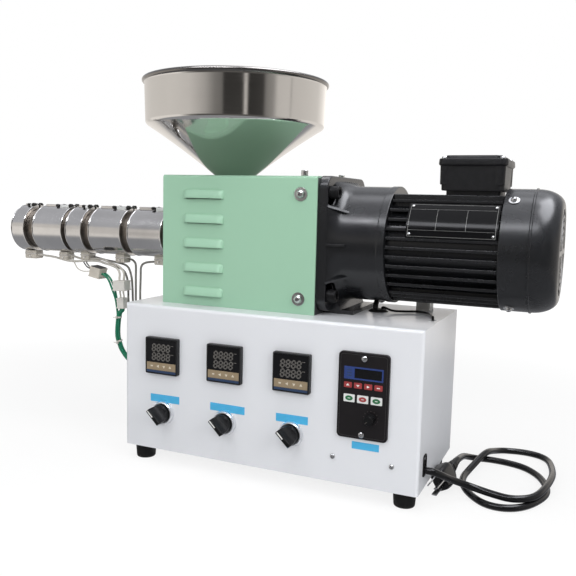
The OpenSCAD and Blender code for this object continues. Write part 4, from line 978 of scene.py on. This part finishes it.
def make_speed_panel():
    """Face of the speed panel with its keys and dial marks, and its knob."""
    place = on_panel(SPEED_X, SPEED_Z)
    face = Piece("speed_face")
    face.add(plate(rounded(61, 102, 5, 8), 0, 4, 1.0), PANEL_BLACK, place)
    face.add(block((-26, -42, -50), (26, 42, 1), 0.8), BLACK_MOULD, place)
    rim, inner = rounded(56, 97, 3.4, 6), rounded(55.2, 96.2, 3.2, 6)
    line = [level(rim, 3.9), level(rim, 4.1), level(inner, 4.1), level(inner, 3.9)]
    face.add(loft(line, closed=True), PANEL_LINE, place)
    dial = place @ at(*DIAL_AT)
    place = place @ at(1.9, 0.9, 0)
    face.add(block((-25.2, 18.1, 3.8), (21.8, 33.0, 4.3), 0.25), DISPLAY_BLUE, place)
    face.add(block((-12.5, 20.0, 4.2), (20.0, 31.2, 4.42), 0.1), SCREEN_BLACK, place)
    for k in range(3):
        face.add(block((-21.5, 21.6 + 3.4 * k, 4.25), (-15.8, 23.0 + 3.4 * k, 4.38), 0.05), STRIP_BLUE, place)
    marks = [((-2, -1), (2, -1), (0, 1.6)), ((-2, 1), (2, 1), (0, -1.6)), ((-1.4, -1.6), (1.8, 0), (-1.4, 1.6)),
             ((-1.8, -0.6), (1.8, -0.6), (1.8, 0.6), (-1.8, 0.6))]
    for k, mark in enumerate(marks):
        where = place @ at(-20.1 + 12.2 * k, 11.3, 0)
        face.add(plate(rounded(9.6, 6.6, 0.9, 3), 3.8, 4.7, 0.3, 2), KEY_RED, where)
        face.add(prism(mark, 4.66, 4.8), PRINT_WHITE, where)
    oval = [(4.6 * cos(2 * pi * n / 28), 2.9 * sin(2 * pi * n / 28)) for n in range(28)]
    for k, colour in enumerate((KEY_GREEN, KEY_RED, KEY_GREEN)):
        where = place @ at(-18.1 + 16.4 * k, -4.2, 0)
        face.add(plate(rounded(13.4, 9.2, 0.8, 3), 3.8, 4.7, 0.3, 2), KEY_WHITE, where)
        face.add(prism(oval, 4.6, 4.85), colour, where)
        face.add(block((-1.5, -0.4, 4.8), (1.5, 0.4, 4.92)), PRINT_WHITE, where)
    for k in range(DIAL_MARKS):
        face.add(block((8.2, -0.25, 3.95), (9.0, 0.25, 4.06)), DIGIT_GREY, dial @ turn(DIAL_START - DIAL_STEP * k, "Z"))
    spots = [((SPEED_X + 0.7, -4.0, 153.6), (90, 30, 0)), ((SPEED_X - 0.1, -4.0, 64.2), (90, 70, 0))]
    face.copies(pan_screw(7.4, 2.4), SCREW_STEEL, spots)
    face.done(replaces=["speed_panel"])

    knob = Piece("speed_dial_knob")
    body = [(0, -24.7), (2.95, -24.7), (2.95, 4.3), (6.5, 4.3), (6.3, 8.5), (5.6, 14.2), (5.0, 15), (0, 15)]
    knob.add(lathe(soft(body, 0.5, 2), 40), KNOB_BLACK, dial)
    rib = block((-0.25, -0.35, -4.6), (0.35, 0.35, 4.6), 0.15, 1)
    knob.ring(rib, KNOB_BLACK, 18, 5.95, dial @ at(0, 0, 9.6))
    knob.add(block((-0.25, 1.6, 14.6), (0.25, 4.8, 15.1), 0.05), DIGIT_GREY, dial @ turn(DIAL_START - 90, "Z"))
    knob.done("speed_knob", ["speed_knob"])


make_feet()
make_slot_edging()
make_panel_trim()
for number in range(3):
    make_controller(number)
    make_selector(number)
make_speed_panel()


# Drive

def make_cover():
    """Folded sheet cover, closed on the left, with formed louvers in its front."""
    sheet, bend = 2.0, 3.5

    def fold(inset, low):
        front, back, top = COVER_FRONT + inset, COVER_FRONT + COVER_DEEP - inset, COVER_TOP - inset
        arcs = [radians(15 * k) for k in range(7)]
        r = bend - inset
        return ([(front, CABINET_H + low)] + [(front + r * (1 - cos(a)), top - r * (1 - sin(a))) for a in arcs]
                + [(back - r * (1 - sin(a)), top - r * (1 - cos(a))) for a in arcs] + [(back, CABINET_H + low)])

    def run(outline, start, end):
        return loft([[(x, y, z) for y, z in outline] for x in (start, end)])

    def drill(r, steps, place):
        made = lathe([(0, -20), (r, -20), (r, 20), (0, 20)], steps)
        made.transform(place)
        return made

    slots = [block((COVER_X + 36, COVER_FRONT - 1, z - 7.1), (COVER_X + 87, COVER_FRONT + 4, z - 2.0)) for z in LOUVERS]
    cover = Piece("louvered_cover")
    cover.add(drilled(run(fold(0.0, 0.1), COVER_X, COVER_END), run(fold(sheet, -5.0), COVER_X + sheet, COVER_END + 5),
                      *slots, drill(25.4, 64, at(HOPPER_X, AXIS_Y, COVER_TOP)), drill(30.3, 96, on_axis(COVER_X))),
              GREEN_COAT)
    hood = [(0, 11.7), (0.9, 11.4), (2.0, 10.4), (2.9, 8.8), (3.9, 6.7), (4.9, 4.5), (5.6, 2.6), (5.8, 1.3), (5.7, 0.5),
            (5.3, 0.0), (4.6, 0.0), (4.5, 1.6), (3.8, 4.2), (2.8, 6.4), (1.7, 8.6), (0.8, 9.6), (-0.4, 10.0)]
    ends = [(0.0, 0.06), (0.7, 0.36), (1.8, 0.62), (3.4, 0.82), (5.6, 0.95), (8.0, 1.0)]
    ends += [(59.0 - x, share) for x, share in reversed(ends)]
    for z in LOUVERS:
        rings = [[(COVER_X + 32 + x, COVER_FRONT - out * share, z - 6.2 + up * (0.74 + 0.26 * share))
                  for out, up in hood] for x, share in ends]
        cover.add(loft(rings), GREEN_COAT)
    cover.done(replaces=["drive_cover"], angle=40)


def make_cover_screws():
    """Domed screws on washers in the cover's front, and cap screws in its top."""
    screws = Piece("cover_fasteners")
    dome = drilled(lathe([(0, 1.4), (5.2, 1.4), (5.2, 2.2), (4.6, 4.4), (3.4, 5.9), (2.6, 6.3), (0, 6.3)], 40),
                   prism(hexagon(1.9), 3.4, 9))
    washer = lathe(soft([(0, 0), (8.5, 0), (8.5, 1.5), (0, 1.5)], 0.4, 2), 48)
    for shape in (washer, dome):
        screws.copies(shape, SCREW_STEEL, [((234.0, COVER_FRONT, z), (90, 0, 0)) for z in (211.0, 339.0)])
    top = [((234.0, y, COVER_TOP), (0, 0, 15)) for y in (42.0, 176.0)]
    screws.copies(cap_screw(8.6, 7.0, 4.6), SCREW_STEEL, top)
    screws.done(replaces=["cover_screws"])


def corner_point(a, b, r, angle):
    """Where a ray from the middle meets a rectangle of half sizes a and b with round corners."""
    c, d = cos(angle), sin(angle)
    t = min(a / max(abs(c), 1e-9), b / max(abs(d), 1e-9))
    if t * abs(c) > a - r and t * abs(d) > b - r:
        p, q = a - r, b - r
        along = p * abs(c) + q * abs(d)
        t = along + sqrt(along * along - p * p - q * q + r * r)
    return t * c, t * d


def make_gear_case():
    """Cast gear case: a square flange that eases into a cylinder, with pockets, webs and bolts."""
    case = Piece("gear_housing")
    place = on_axis(COVER_END)
    case.add(plate(rounded(147, 166, 17, 8), 0, 12, 1.6), BLACK_COAT, place)
    square = [corner_point(72.25, 78.0, 34.0, 2 * pi * k / 144) for k in range(144)]
    steps = [(1 - (1 - k / 10) ** 2, 11 + 2.1 * k, 72.0) for k in range(11)]
    steps += [(1.0, z, r) for z, r in ((40, 72), (56, 72), (73.2, 72), (73.8, 72.5), (74.4, 72.8), (82.2, 72.8),
                                       (82.8, 72.4), (83, 71.6))]
    rings = []
    for ease, z, r in steps:
        ring = []
        for x, y in square:
            angle = atan2(y, x)
            ring.append((x + (r * cos(angle) - x) * ease, y + (r * sin(angle) - y) * ease, z))
        rings.append(ring)
    corners, pockets = [(x, y) for x in (-63, 63) for y in (-63, 63)], []
    for x, y in corners:
        cutter = lathe(soft([(0, 12), (17.5, 12), (16.5, 20), (0, 20)], 2.0, 3), 40)
        cutter.transform(at(x, y, 0))
        pockets.append(cutter)
    case.add(drilled(loft(rings), *pockets), BLACK_COAT, place)
    for side in (-1, 1):
        case.add(block((side * 58 - 18, -1.6, 12), (side * 58 + 16.5, 1.6, 36), 0.8), BLACK_COAT, place)
    web = [(60, 11), (87, 11), (85, 13), (73, 35), (71, 37), (60, 37)]
    for a in (33, 147, 213, 327):
        along, across = Vector((*polar(1.0, a), 0)), Vector((0, 0, 1))
        side = across.cross(along)
        case.add(loft([[along * r + across * z + side * t for r, z in web] for t in (-1.5, 1.5)]), BLACK_COAT, place)
    base = [(0, 0), (40, 0), (40, 5), (24, 5), (12, 26), (0, 26)]
    case.add(loft([[(COVER_END + x, AXIS_Y + y, CABINET_H + z) for x, z in base] for y in (-46, 46)]), BLACK_COAT)
    bolts = [((COVER_END + 12, AXIS_Y + y, AXIS_Z + z), (0, 90, 0)) for y, z in corners]
    case.copies(cap_screw(16, 12, 9.2), KNOB_BLACK, bolts)
    case.done(replaces=["gear_case", "flange_bolts"], angle=40, bevel=0.5)


def make_motor():
    """Motor body with its cooling fins, and its bare nameplate."""
    motor = Piece("motor_frame")
    place, middle = on_axis(MOTOR_X), at(MOTOR_X, AXIS_Y, AXIS_Z)
    start, end, pitch, half, thick = 0.4, MOTOR_LONG - 0.4, 11.0, 55.0, 1.8
    motor.add(lathe(soft([(0, 0), (61, 0), (61, MOTOR_LONG), (0, MOTOR_LONG)], 0.5), 128), BLACK_COAT, place)
    fin = block((start, -half, -thick), (end, half, thick), 0.7)
    motor.grown(FINS, line_mesh([(0, 0, 0)]), BLACK_COAT, fin, middle, Count=11, Pitch=pitch, Radius=MOTOR_R,
                Half_Width=half)
    for k in range(-3, 4):
        y = pitch * k
        low = sqrt(MOTOR_R ** 2 - y ** 2)
        motor.add(block((start, y - thick, -low), (end, y + thick, -50), 0.7), BLACK_COAT, middle)
    motor.add(block((start, -37, 40), (end, 37, 63), 1.2), BLACK_COAT, middle)
    motor.done(replaces=["motor_body"])

    nameplate = Piece("bare_nameplate")
    arc = [(70.15, 24), (70.9, 24), (70.9, 127.5), (70.15, 127.5)]
    nameplate.add(arc_bar(arc, 180 - 47.5, 180 - 10.5, 24), PLATE_BLACK, place)
    for z0, z1, a0, a1 in ((26, 125.5, 46.2, 45.9), (26, 125.5, 12.1, 11.8), (26, 26.5, 46.2, 11.8),
                           (125, 125.5, 46.2, 11.8), (27, 124, 40.2, 40.0), (27, 124, 18.2, 18.0), (58, 58.4, 40, 18),
                           (92, 92.4, 40, 18)):
        profile = [(70.85, z0), (PLATE_R, z0), (PLATE_R, z1), (70.85, z1)]
        nameplate.add(arc_bar(profile, 180 - a0, 180 - a1, 12), PLATE_RULE, place)
    rivets = [on_shell(MOTOR_X + z, PLATE_R, a) for z in (28.5, 123.0) for a in (44.0, 14.0)]
    nameplate.copies(pan_screw(3.2, 0.9, False), SCREW_STEEL, rivets)
    nameplate.done()


def make_fan_cover():
    """Domed fan cover with its grille, and the fan's blades behind it."""
    fan = Piece("fan_cowl")
    place = on_axis(FAN_X)
    dome = [(54 + 18 * cos(radians(a)), 34 + 29 * sin(radians(a))) for a in range(0, 91, 6)]
    profile = [(0, 0), (66, 0), (71.5, 0), (72, 0.6), (72, 31), (73.1, 31.8), (73.2, 32.6), (73.1, 33.4), (72.0, 34.2)]
    profile += dome[1:] + [(52.5, 63.0), (50.2, 62.6), (49.8, 61.6), (49.8, 44), (0, 44)]
    fan.add(lathe(profile, 160), BLACK_COAT, place)
    for r in range(10, 50, 8):
        fan.add(lathe([(r - 2, 61.2), (r - 1.6, 62.8), (r + 1.6, 62.8), (r + 2, 61.2), (r - 2, 61.2)], 80), BLACK_COAT,
                place)
    fan.add(lathe(soft([(0, 58), (8, 58), (8, 62.8), (0, 62.8)], 0.6), 40), BLACK_COAT, place)
    spoke = block((4, -3, 60.4), (50.5, 3, 62.9), 0.5)
    fan.ring(spoke, BLACK_COAT, 4, 0.01, place)
    blade = block((12, -0.8, 45), (46, 0.8, 57), 0.3)
    fan.ring(blade, CASTING, 7, 0.01, place)
    washer = lathe(soft([(0, -1), (6.2, -1), (6.2, 1.0), (0, 1.0)], 0.3, 2), 40)
    for shape in (washer, pan_screw(7.4, 4.6)):
        fan.copies(shape, SCREW_STEEL, [on_shell(FAN_X + 11.0, FAN_R, a) for a in (53.5, -64.4, 126.5, 244.4)])
    fan.done(replaces=["fan_cover"])


def make_terminal_box():
    """Terminal box on the motor, and its lid."""
    box = Piece("terminal_case")
    place, corners = at(TERMINAL_X, AXIS_Y, TERMINAL_Z), [(x, y) for x in (-1, 1) for y in (-1, 1)]

    def square(*sections):
        return tapered([(z, w, w, r) for w, z, r in sections], 6)

    box.add(square((62, -0.5, 8), (62, 5, 8), (71, 5.2, 8), (72, 6.5, 8), (73.4, 33.5, 8)), BLACK_MOULD, place)
    for x, y in corners:
        lug = tapered([(12, 11, 11, 3.5), (13, 11.8, 11.8, 3.5), (33.6, 12.4, 12.4, 3.5)], 4)
        box.add(lug, BLACK_MOULD, place @ at(x * 31, y * 31, 0))
    box.add(lathe(soft([(0, 34), (9, 34), (9, 42), (7.4, 43), (7.4, 47), (5.8, 51), (0, 51)], 0.8, 2), 32), BLACK_MOULD,
            place @ at(0, 0, 19.5) @ turn(-90, "X"))
    box.done(replaces=["terminal_box"])

    lid = Piece("terminal_cap")
    lid.add(square((75.5, 33.6, 8), (78.6, 35.0, 8), (79.0, 36.2, 8), (78.4, 40.6, 8), (77.2, 42.0, 7.6), (66, 42.2, 7),
                   (64.6, 45.2, 6.5), (63, 46.0, 6)), BLACK_MOULD, place)
    spots = [((TERMINAL_X + x * 33, AXIS_Y + y * 33, TERMINAL_Z + 42.0), (0, 0, 25 * x + 40 * y)) for x, y in corners]
    lid.copies(pan_screw(6.6, 3.0), SCREW_STEEL, spots)
    lid.done(replaces=["terminal_lid"])


make_cover()
make_cover_screws()
make_gear_case()
make_motor()
make_fan_cover()
make_terminal_box()


# Hopper, barrel and heater bands

def make_hopper():
    """Spun bowl on its cone and neck, with a rolled rim wrapped in darker steel as painted shade."""
    hopper = Piece("hopper_bowl")
    cone = [(96.0 * t, 67.8 * t + 8.4 * t * (1 - t)) for t in (k / 12 for k in range(13))]
    outside = soft([(25, -16), *((25 + r, z) for r, z in cone), (122.5, 119)], 3.6, 6)
    rim_r, rim_z = 122.7, 124
    rim = [(rim_r + r, rim_z + z) for r, z in (polar(3, a) for a in range(-80, 200, 14))]
    inside = soft([(120.3, 121), *((23.2 + r, 1.6 + z) for r, z in reversed(cone)), (23, -16)], 3.0, 6)
    profile = [*outside, *rim, *inside]
    place = at(HOPPER_X, AXIS_Y, COVER_TOP)
    hopper.add(lathe(profile + profile[:1], 192), MIRROR_STEEL, place)
    # A slightly larger shell over the whole rolled rim in the darker steel: painted shade, the dark line along the rim.
    bead = [(rim_r + r, rim_z + z) for r, z in (polar(3.06, a) for a in range(0, 361, 20))]
    hopper.add(lathe(bead, 192), RIM_SHADE_STEEL, place)
    hopper.done(replaces=["hopper"], angle=50)


def make_bands():
    """Heater bands with their clamps, the die's nose, and the ceramic boxes under the bands."""
    bands = Piece("heater_bands")
    for x, long in BANDS:
        place = on_axis(x)
        more = -0.0055 * (x + 54)
        half = [(30.5, 0.4), (33.4, 0.0), (34.5, 0.3), (34.75, 1.0), (34.5, 1.8), (34.0, 2.6)]
        profile = [(r + more if r > 31 else r, z) for r, z in half]
        profile += [(r, long - z) for r, z in reversed(profile)]
        bands.add(arc_bar(profile, 93.4, 446.6, 96), BAND_STEEL, place)
        for side in (-1, 1):
            bands.add(block((side * 3.6 - 0.8, 32.5, 1.5), (side * 3.6 + 0.8, 37.6, long - 1.5), 0.5), BAND_STEEL,
                      place)
        start = 0.58 * long
        bands.add(block((-9.4, 32.6, start), (-4.2, 37.4, start + min(17.0, 0.3 * long)), 0.8), KEY_WHITE, place)
        for z, d in ((0.5 * long, 4.6), (long - 3.4, 6.0)):
            middle = place @ at(-11, 36.0, z) @ turn(90, "Y")
            bolt = [(0, 0), (d / 2, 0), (d / 2, 5), (1.7, 5), (1.7, 21.5), (0, 22)]
            bands.add(lathe(soft(bolt, 0.4, 2), 20), BOLT_BLACK, middle)
            bands.add(plate(rounded(d, d, 1.4, 2), 15.5, 18.6, 0.4, 2), BOLT_BLACK, middle)
    bands.done(replaces=["heater_band_%d" % (k + 1) for k in range(5)])

    die = Piece("die_nose")
    nose = [(1.5, 0), (4, 0), (10, 1.5), (10, 10), (27, 10), (30, 13), (30, 37), (1.5, 37), (1.5, 0)]
    die.add(lathe(soft(nose, 0.8, 2)), BARREL_STEEL, on_axis(DIE_END - 10))
    die.done(replaces=["die_head"])

    boxes = Piece("band_boxes")
    for k, (x, drop) in enumerate(BAND_BOXES):
        half, low = 11.0 if k == 0 else 8.0, CABINET_H + BOX_LOW - drop
        boxes.add(block((x - half, AXIS_Y - 8.5, low), (x + half, AXIS_Y + 8.5, low + 13.0), 1.4), CERAMIC)
        boxes.add(block((x - half - 0.4, AXIS_Y - 8.9, low + 7), (x + half + 0.4, AXIS_Y + 8.9, low + 8.4), 0.5),
                  BAND_STEEL)
        boxes.add(lathe(soft([(0, 0), (1.8, 0), (1.8, 1.2), (0, 1.2)], 0.3, 2), 16), SCREW_STEEL,
                  at(x, AXIS_Y - 8.4, low + 3.8) @ turn(90, "X"))
    boxes.done(replaces=["band_terminals"])


make_hopper()
make_bands()


# Wiring

SIDE = -21.0
CONNECTOR_1, CONNECTOR_2, CONNECTOR_3 = Vector((-115, SIDE, 26)), Vector((-72, SIDE, 9)), Vector((-71, SIDE, -17))
DROP, ENTRY = Vector((0, 0, -3)), Vector((-4, 0, 0))


def hole_entry(side, up):
    return Vector((-0.1, -2.0 + side, -108.0 + up))


def beside(points):
    """Points given from the cabinet's top left edge below the drive axis, in the corner frame."""
    return [Vector(p) + Vector((0, AXIS_Y, CABINET_H)) for p in points]


def wire(start, route, end):
    """A smooth run from one end to the other."""
    return beside([start, *smooth_route(route), end])


def make_wires():
    """Heater and sensor wires with their ties and couplings."""
    wires = Piece("heater_leads")
    ends = [hole_entry(4, -2), hole_entry(-2, 3), hole_entry(5, 7), hole_entry(0, -3)]
    sleeved = [
        ((-247, -2, 45), [(-242, -2, 44.6), (-236, -2, 44), (-212, -4, 42.6), (-185, -6, 38.6), (-166, -7, 38.6),
                          (-148, -9, 40.5), (-122, -11, 41.5), (-102, -13, 38), (-84, -17, 34), (-76.5, -20, 27),
                          (-76, -21, 20)], (-76, SIDE, 16), SLEEVE),
        ((-185, 2, 46), [(-180, 2, 45.6), (-164, 0, 42.5), (-148, -3, 42.8), (-120, -6, 44.2), (-100, -9, 39.8),
                         (-82, -14, 36), (-70, -19, 29), (-68, -21, 20)], (-68, SIDE, 16), SLEEVE),
        ((-143, 4, 46), [(-138, 4, 45.6), (-118, 2, 42.6), (-98, 3, 40), (-80, 4, 35), (-72, 3, 20), (-70, 3, 0),
                         (-69, 3, -20), (-63, 3, -60), (-40, 2, -94), (-16, 2, -108), ends[0] + ENTRY], ends[0],
         GREY_SLEEVE),
        ((-78, 6, 46), [(-73, 6, 45.5), (-66.5, 6, 39), (-65.5, 5, 20), (-64, 3, 0), (-63, 2, -20), (-58, 0, -60),
                        (-36, -3, -90), (-14, -4, -103), ends[1] + ENTRY], ends[1], GREY_SLEEVE),
        ((-23, 0, 46), [(-30, 0, 45), (-46, 2, 42.5), (-55, 4, 36), (-57.5, 6, 20), (-58, 6, -20), (-51, 5, -60),
                        (-32, 4, -86), (-12, 3, -99), ends[2] + ENTRY], ends[2], GREY_SLEEVE),
        ((-143, -3, 46), [(-138, -3, 45.4), (-118, -6, 39.4), (-100, -5, 35.6), (-84, -2, 30), (-77, -1, 18),
                          (-75, -1, 0), (-74, -1, -20), (-68, 0, -60), (-42, -1, -99), (-16, -2, -111),
                          ends[3] + ENTRY], ends[3], GREY_SLEEVE)]
    for start, route, end, colour in sleeved:
        wires.tube(wire(start, route, end), 3.2, colour, 12)
    thin = [((-178, -6, 44), [(-172, -8, 40.5), (-160, -13, 29), (-146, -17, 25.5), (-132, -20, 26.5)],
             (-123, SIDE, 27), 1.7, SLEEVE),
            ((-154, -5, 42), [(-151, -9, 38), (-140, -15, 32.2), (-130, -19, 30.5)], (-123, SIDE, 30), 2.0, CASTING),
            ((-148, -5, 42), [(-146, -9, 38), (-136, -15, 33.4), (-128, -19, 32)], (-122, SIDE, 32), 2.0, CASTING)]
    for start, route, end, d, colour in thin:
        wires.tube(wire(start, route, end), d, colour, 8)
    upper, lower = CONNECTOR_2 - Vector((0, 0, 7.6)), CONNECTOR_3 + Vector((0, 0, 8.1))
    for x in (-3, 3):
        step = Vector((x, 0, 0))
        wires.tube(wire(upper + step, [upper + step + DROP, lower + step - DROP], lower + step), 2.5, SLEEVE, 10)
    wires.done(replaces=["heater_wires"])

    green = Piece("sensor_leads")
    for y in (-3, 3):
        out = CONNECTOR_1 + Vector((9.6, y, -2))
        route = [out + Vector((3, 0, 0)), (-94, SIDE + y, 17), (-87, SIDE + y, 3), (-82, SIDE + y / 2, -12),
                 (-80, SIDE, -30)]
        green.tube(wire(out, route, (-79, SIDE, -42)), 3.0, GREEN_WIRE, 12)
    low, end = CONNECTOR_3 - Vector((0, 0, 8.1)), hole_entry(-1, -9)
    bundle = wire(low, [low + DROP, (-76, SIDE, -33), (-79, SIDE, -50), (-79, SIDE, -67), (-75, SIDE, -79),
                        (-70, -20, -90), (-58, -17, -104), (-36, -9, -114), end + Vector((-12, 0, 0)),
                        end + ENTRY], end)
    for k in range(5):
        strand = []
        for n, p in enumerate(bundle):
            strand.append(p + Vector((*polar(2.3, 72 * k + 2.2 * n), 0)))
        green.tube(strand, 3.4, GREEN_WIRE, 10)
    green.done(replaces=["sensor_wires"])

    ties = Piece("cable_ties")
    band = lathe([(4.1, -1.1), (4.6, -1.1), (4.6, 1.1), (4.1, 1.1), (4.1, -1.1)], 24)
    spots = [bundle[int(len(bundle) * share)] for share in (0.17, 0.42, 0.66)]
    ties.grown(BEADS, line_mesh(spots), NYLON, band, Count=3)
    for p in spots[:2]:
        ties.add(block((-1.6, -6.6, -1.6), (1.6, -3.8, 1.6), 0.4), NYLON, at(*p))
        ties.add(block((-6.5, -5.6, -0.5), (-1.0, -4.8, 0.5), 0.2), NYLON, at(*p))
    ties.done()

    blocks = Piece("wire_couplings")
    for middle, size, colour in ((CONNECTOR_1, (19, 18, 16), CERAMIC), (CONNECTOR_2, (21, 16, 15), CONNECTOR),
                                 (CONNECTOR_3, (12, 12, 16), CONNECTOR)):
        leans = 11 if middle is CONNECTOR_1 else -3
        where = at(*beside([middle])[0]) @ turn(leans, "Y")
        half = Vector(size) / 2
        blocks.add(block(-half, half, 1.3), colour, where)
        for z in (-0.42, 0.42):
            blocks.add(block((-half.x - 0.4, -half.y - 0.4, z * size[2] - 0.9),
                             (half.x + 0.4, half.y + 0.4, z * size[2] + 0.9), 0.4), colour, where)
        if middle is CONNECTOR_1:
            blocks.add(block((-half.x + 1, -half.y + 1, half.z - 0.5), (half.x - 1, half.y - 1, half.z + 0.8), 0.3),
                       CASTING, where)
    blocks.done(replaces=["wire_connectors"])


def make_motor_leads():
    """Lead from the terminal box to the cabinet's top, and the thin one on the top."""
    leads = Piece("motor_leads")
    gland = Vector((TERMINAL_X, AXIS_Y + 37.0 + 14.1, TERMINAL_Z + 19.5))
    foot = Vector((309.0, 112.0, CABINET_H + 3.1))
    thin_foot = foot + Vector((9, 0, 0))
    top, back, hole = CABINET_H + 2.1, AXIS_Y + 86.0, Vector((391.0, 77.0, 0))
    thick = [gland, *smooth_route([
        gland + Vector((0, 8, 0)), gland + Vector((-2, 24, -12)), (gland.x - 20, back, AXIS_Z + 30),
        (gland.x - 60, back, AXIS_Z - 10), (foot.x + 18, back - 4, AXIS_Z - 40),
        (foot.x + 3, back - 24, CABINET_H + 22), (foot.x, AXIS_Y + 36, CABINET_H + 11), foot + Vector((0, 16, 10)),
        foot + Vector((0, 6, 9)), foot + Vector((0, 1, 6)), foot + Vector((0, 0, 3))]), foot]
    leads.tube(thick, 7.0, CORD_RUBBER)
    thin = [thin_foot, *smooth_route([
        thin_foot + Vector((0, 0, 2)), thin_foot + Vector((4, -4, 3)), (thin_foot.x + 15, AXIS_Y - 2, top + 1),
        (thin_foot.x + 28, AXIS_Y + 6, top), (thin_foot.x + 40, AXIS_Y + 13, top), (hole.x - 21, AXIS_Y + 13, top),
        (hole.x - 9, AXIS_Y - 1, top), (hole.x - 3, AXIS_Y - 20, top), (hole.x - 1, hole.y + 6, top + 1),
        (hole.x, hole.y + 1, top - 3)]), (hole.x, hole.y, CABINET_H - 12)]
    leads.tube(thin, 3.0, CORD_RUBBER, 12)
    leads.done(replaces=["motor_lead"])


make_wires()
make_motor_leads()
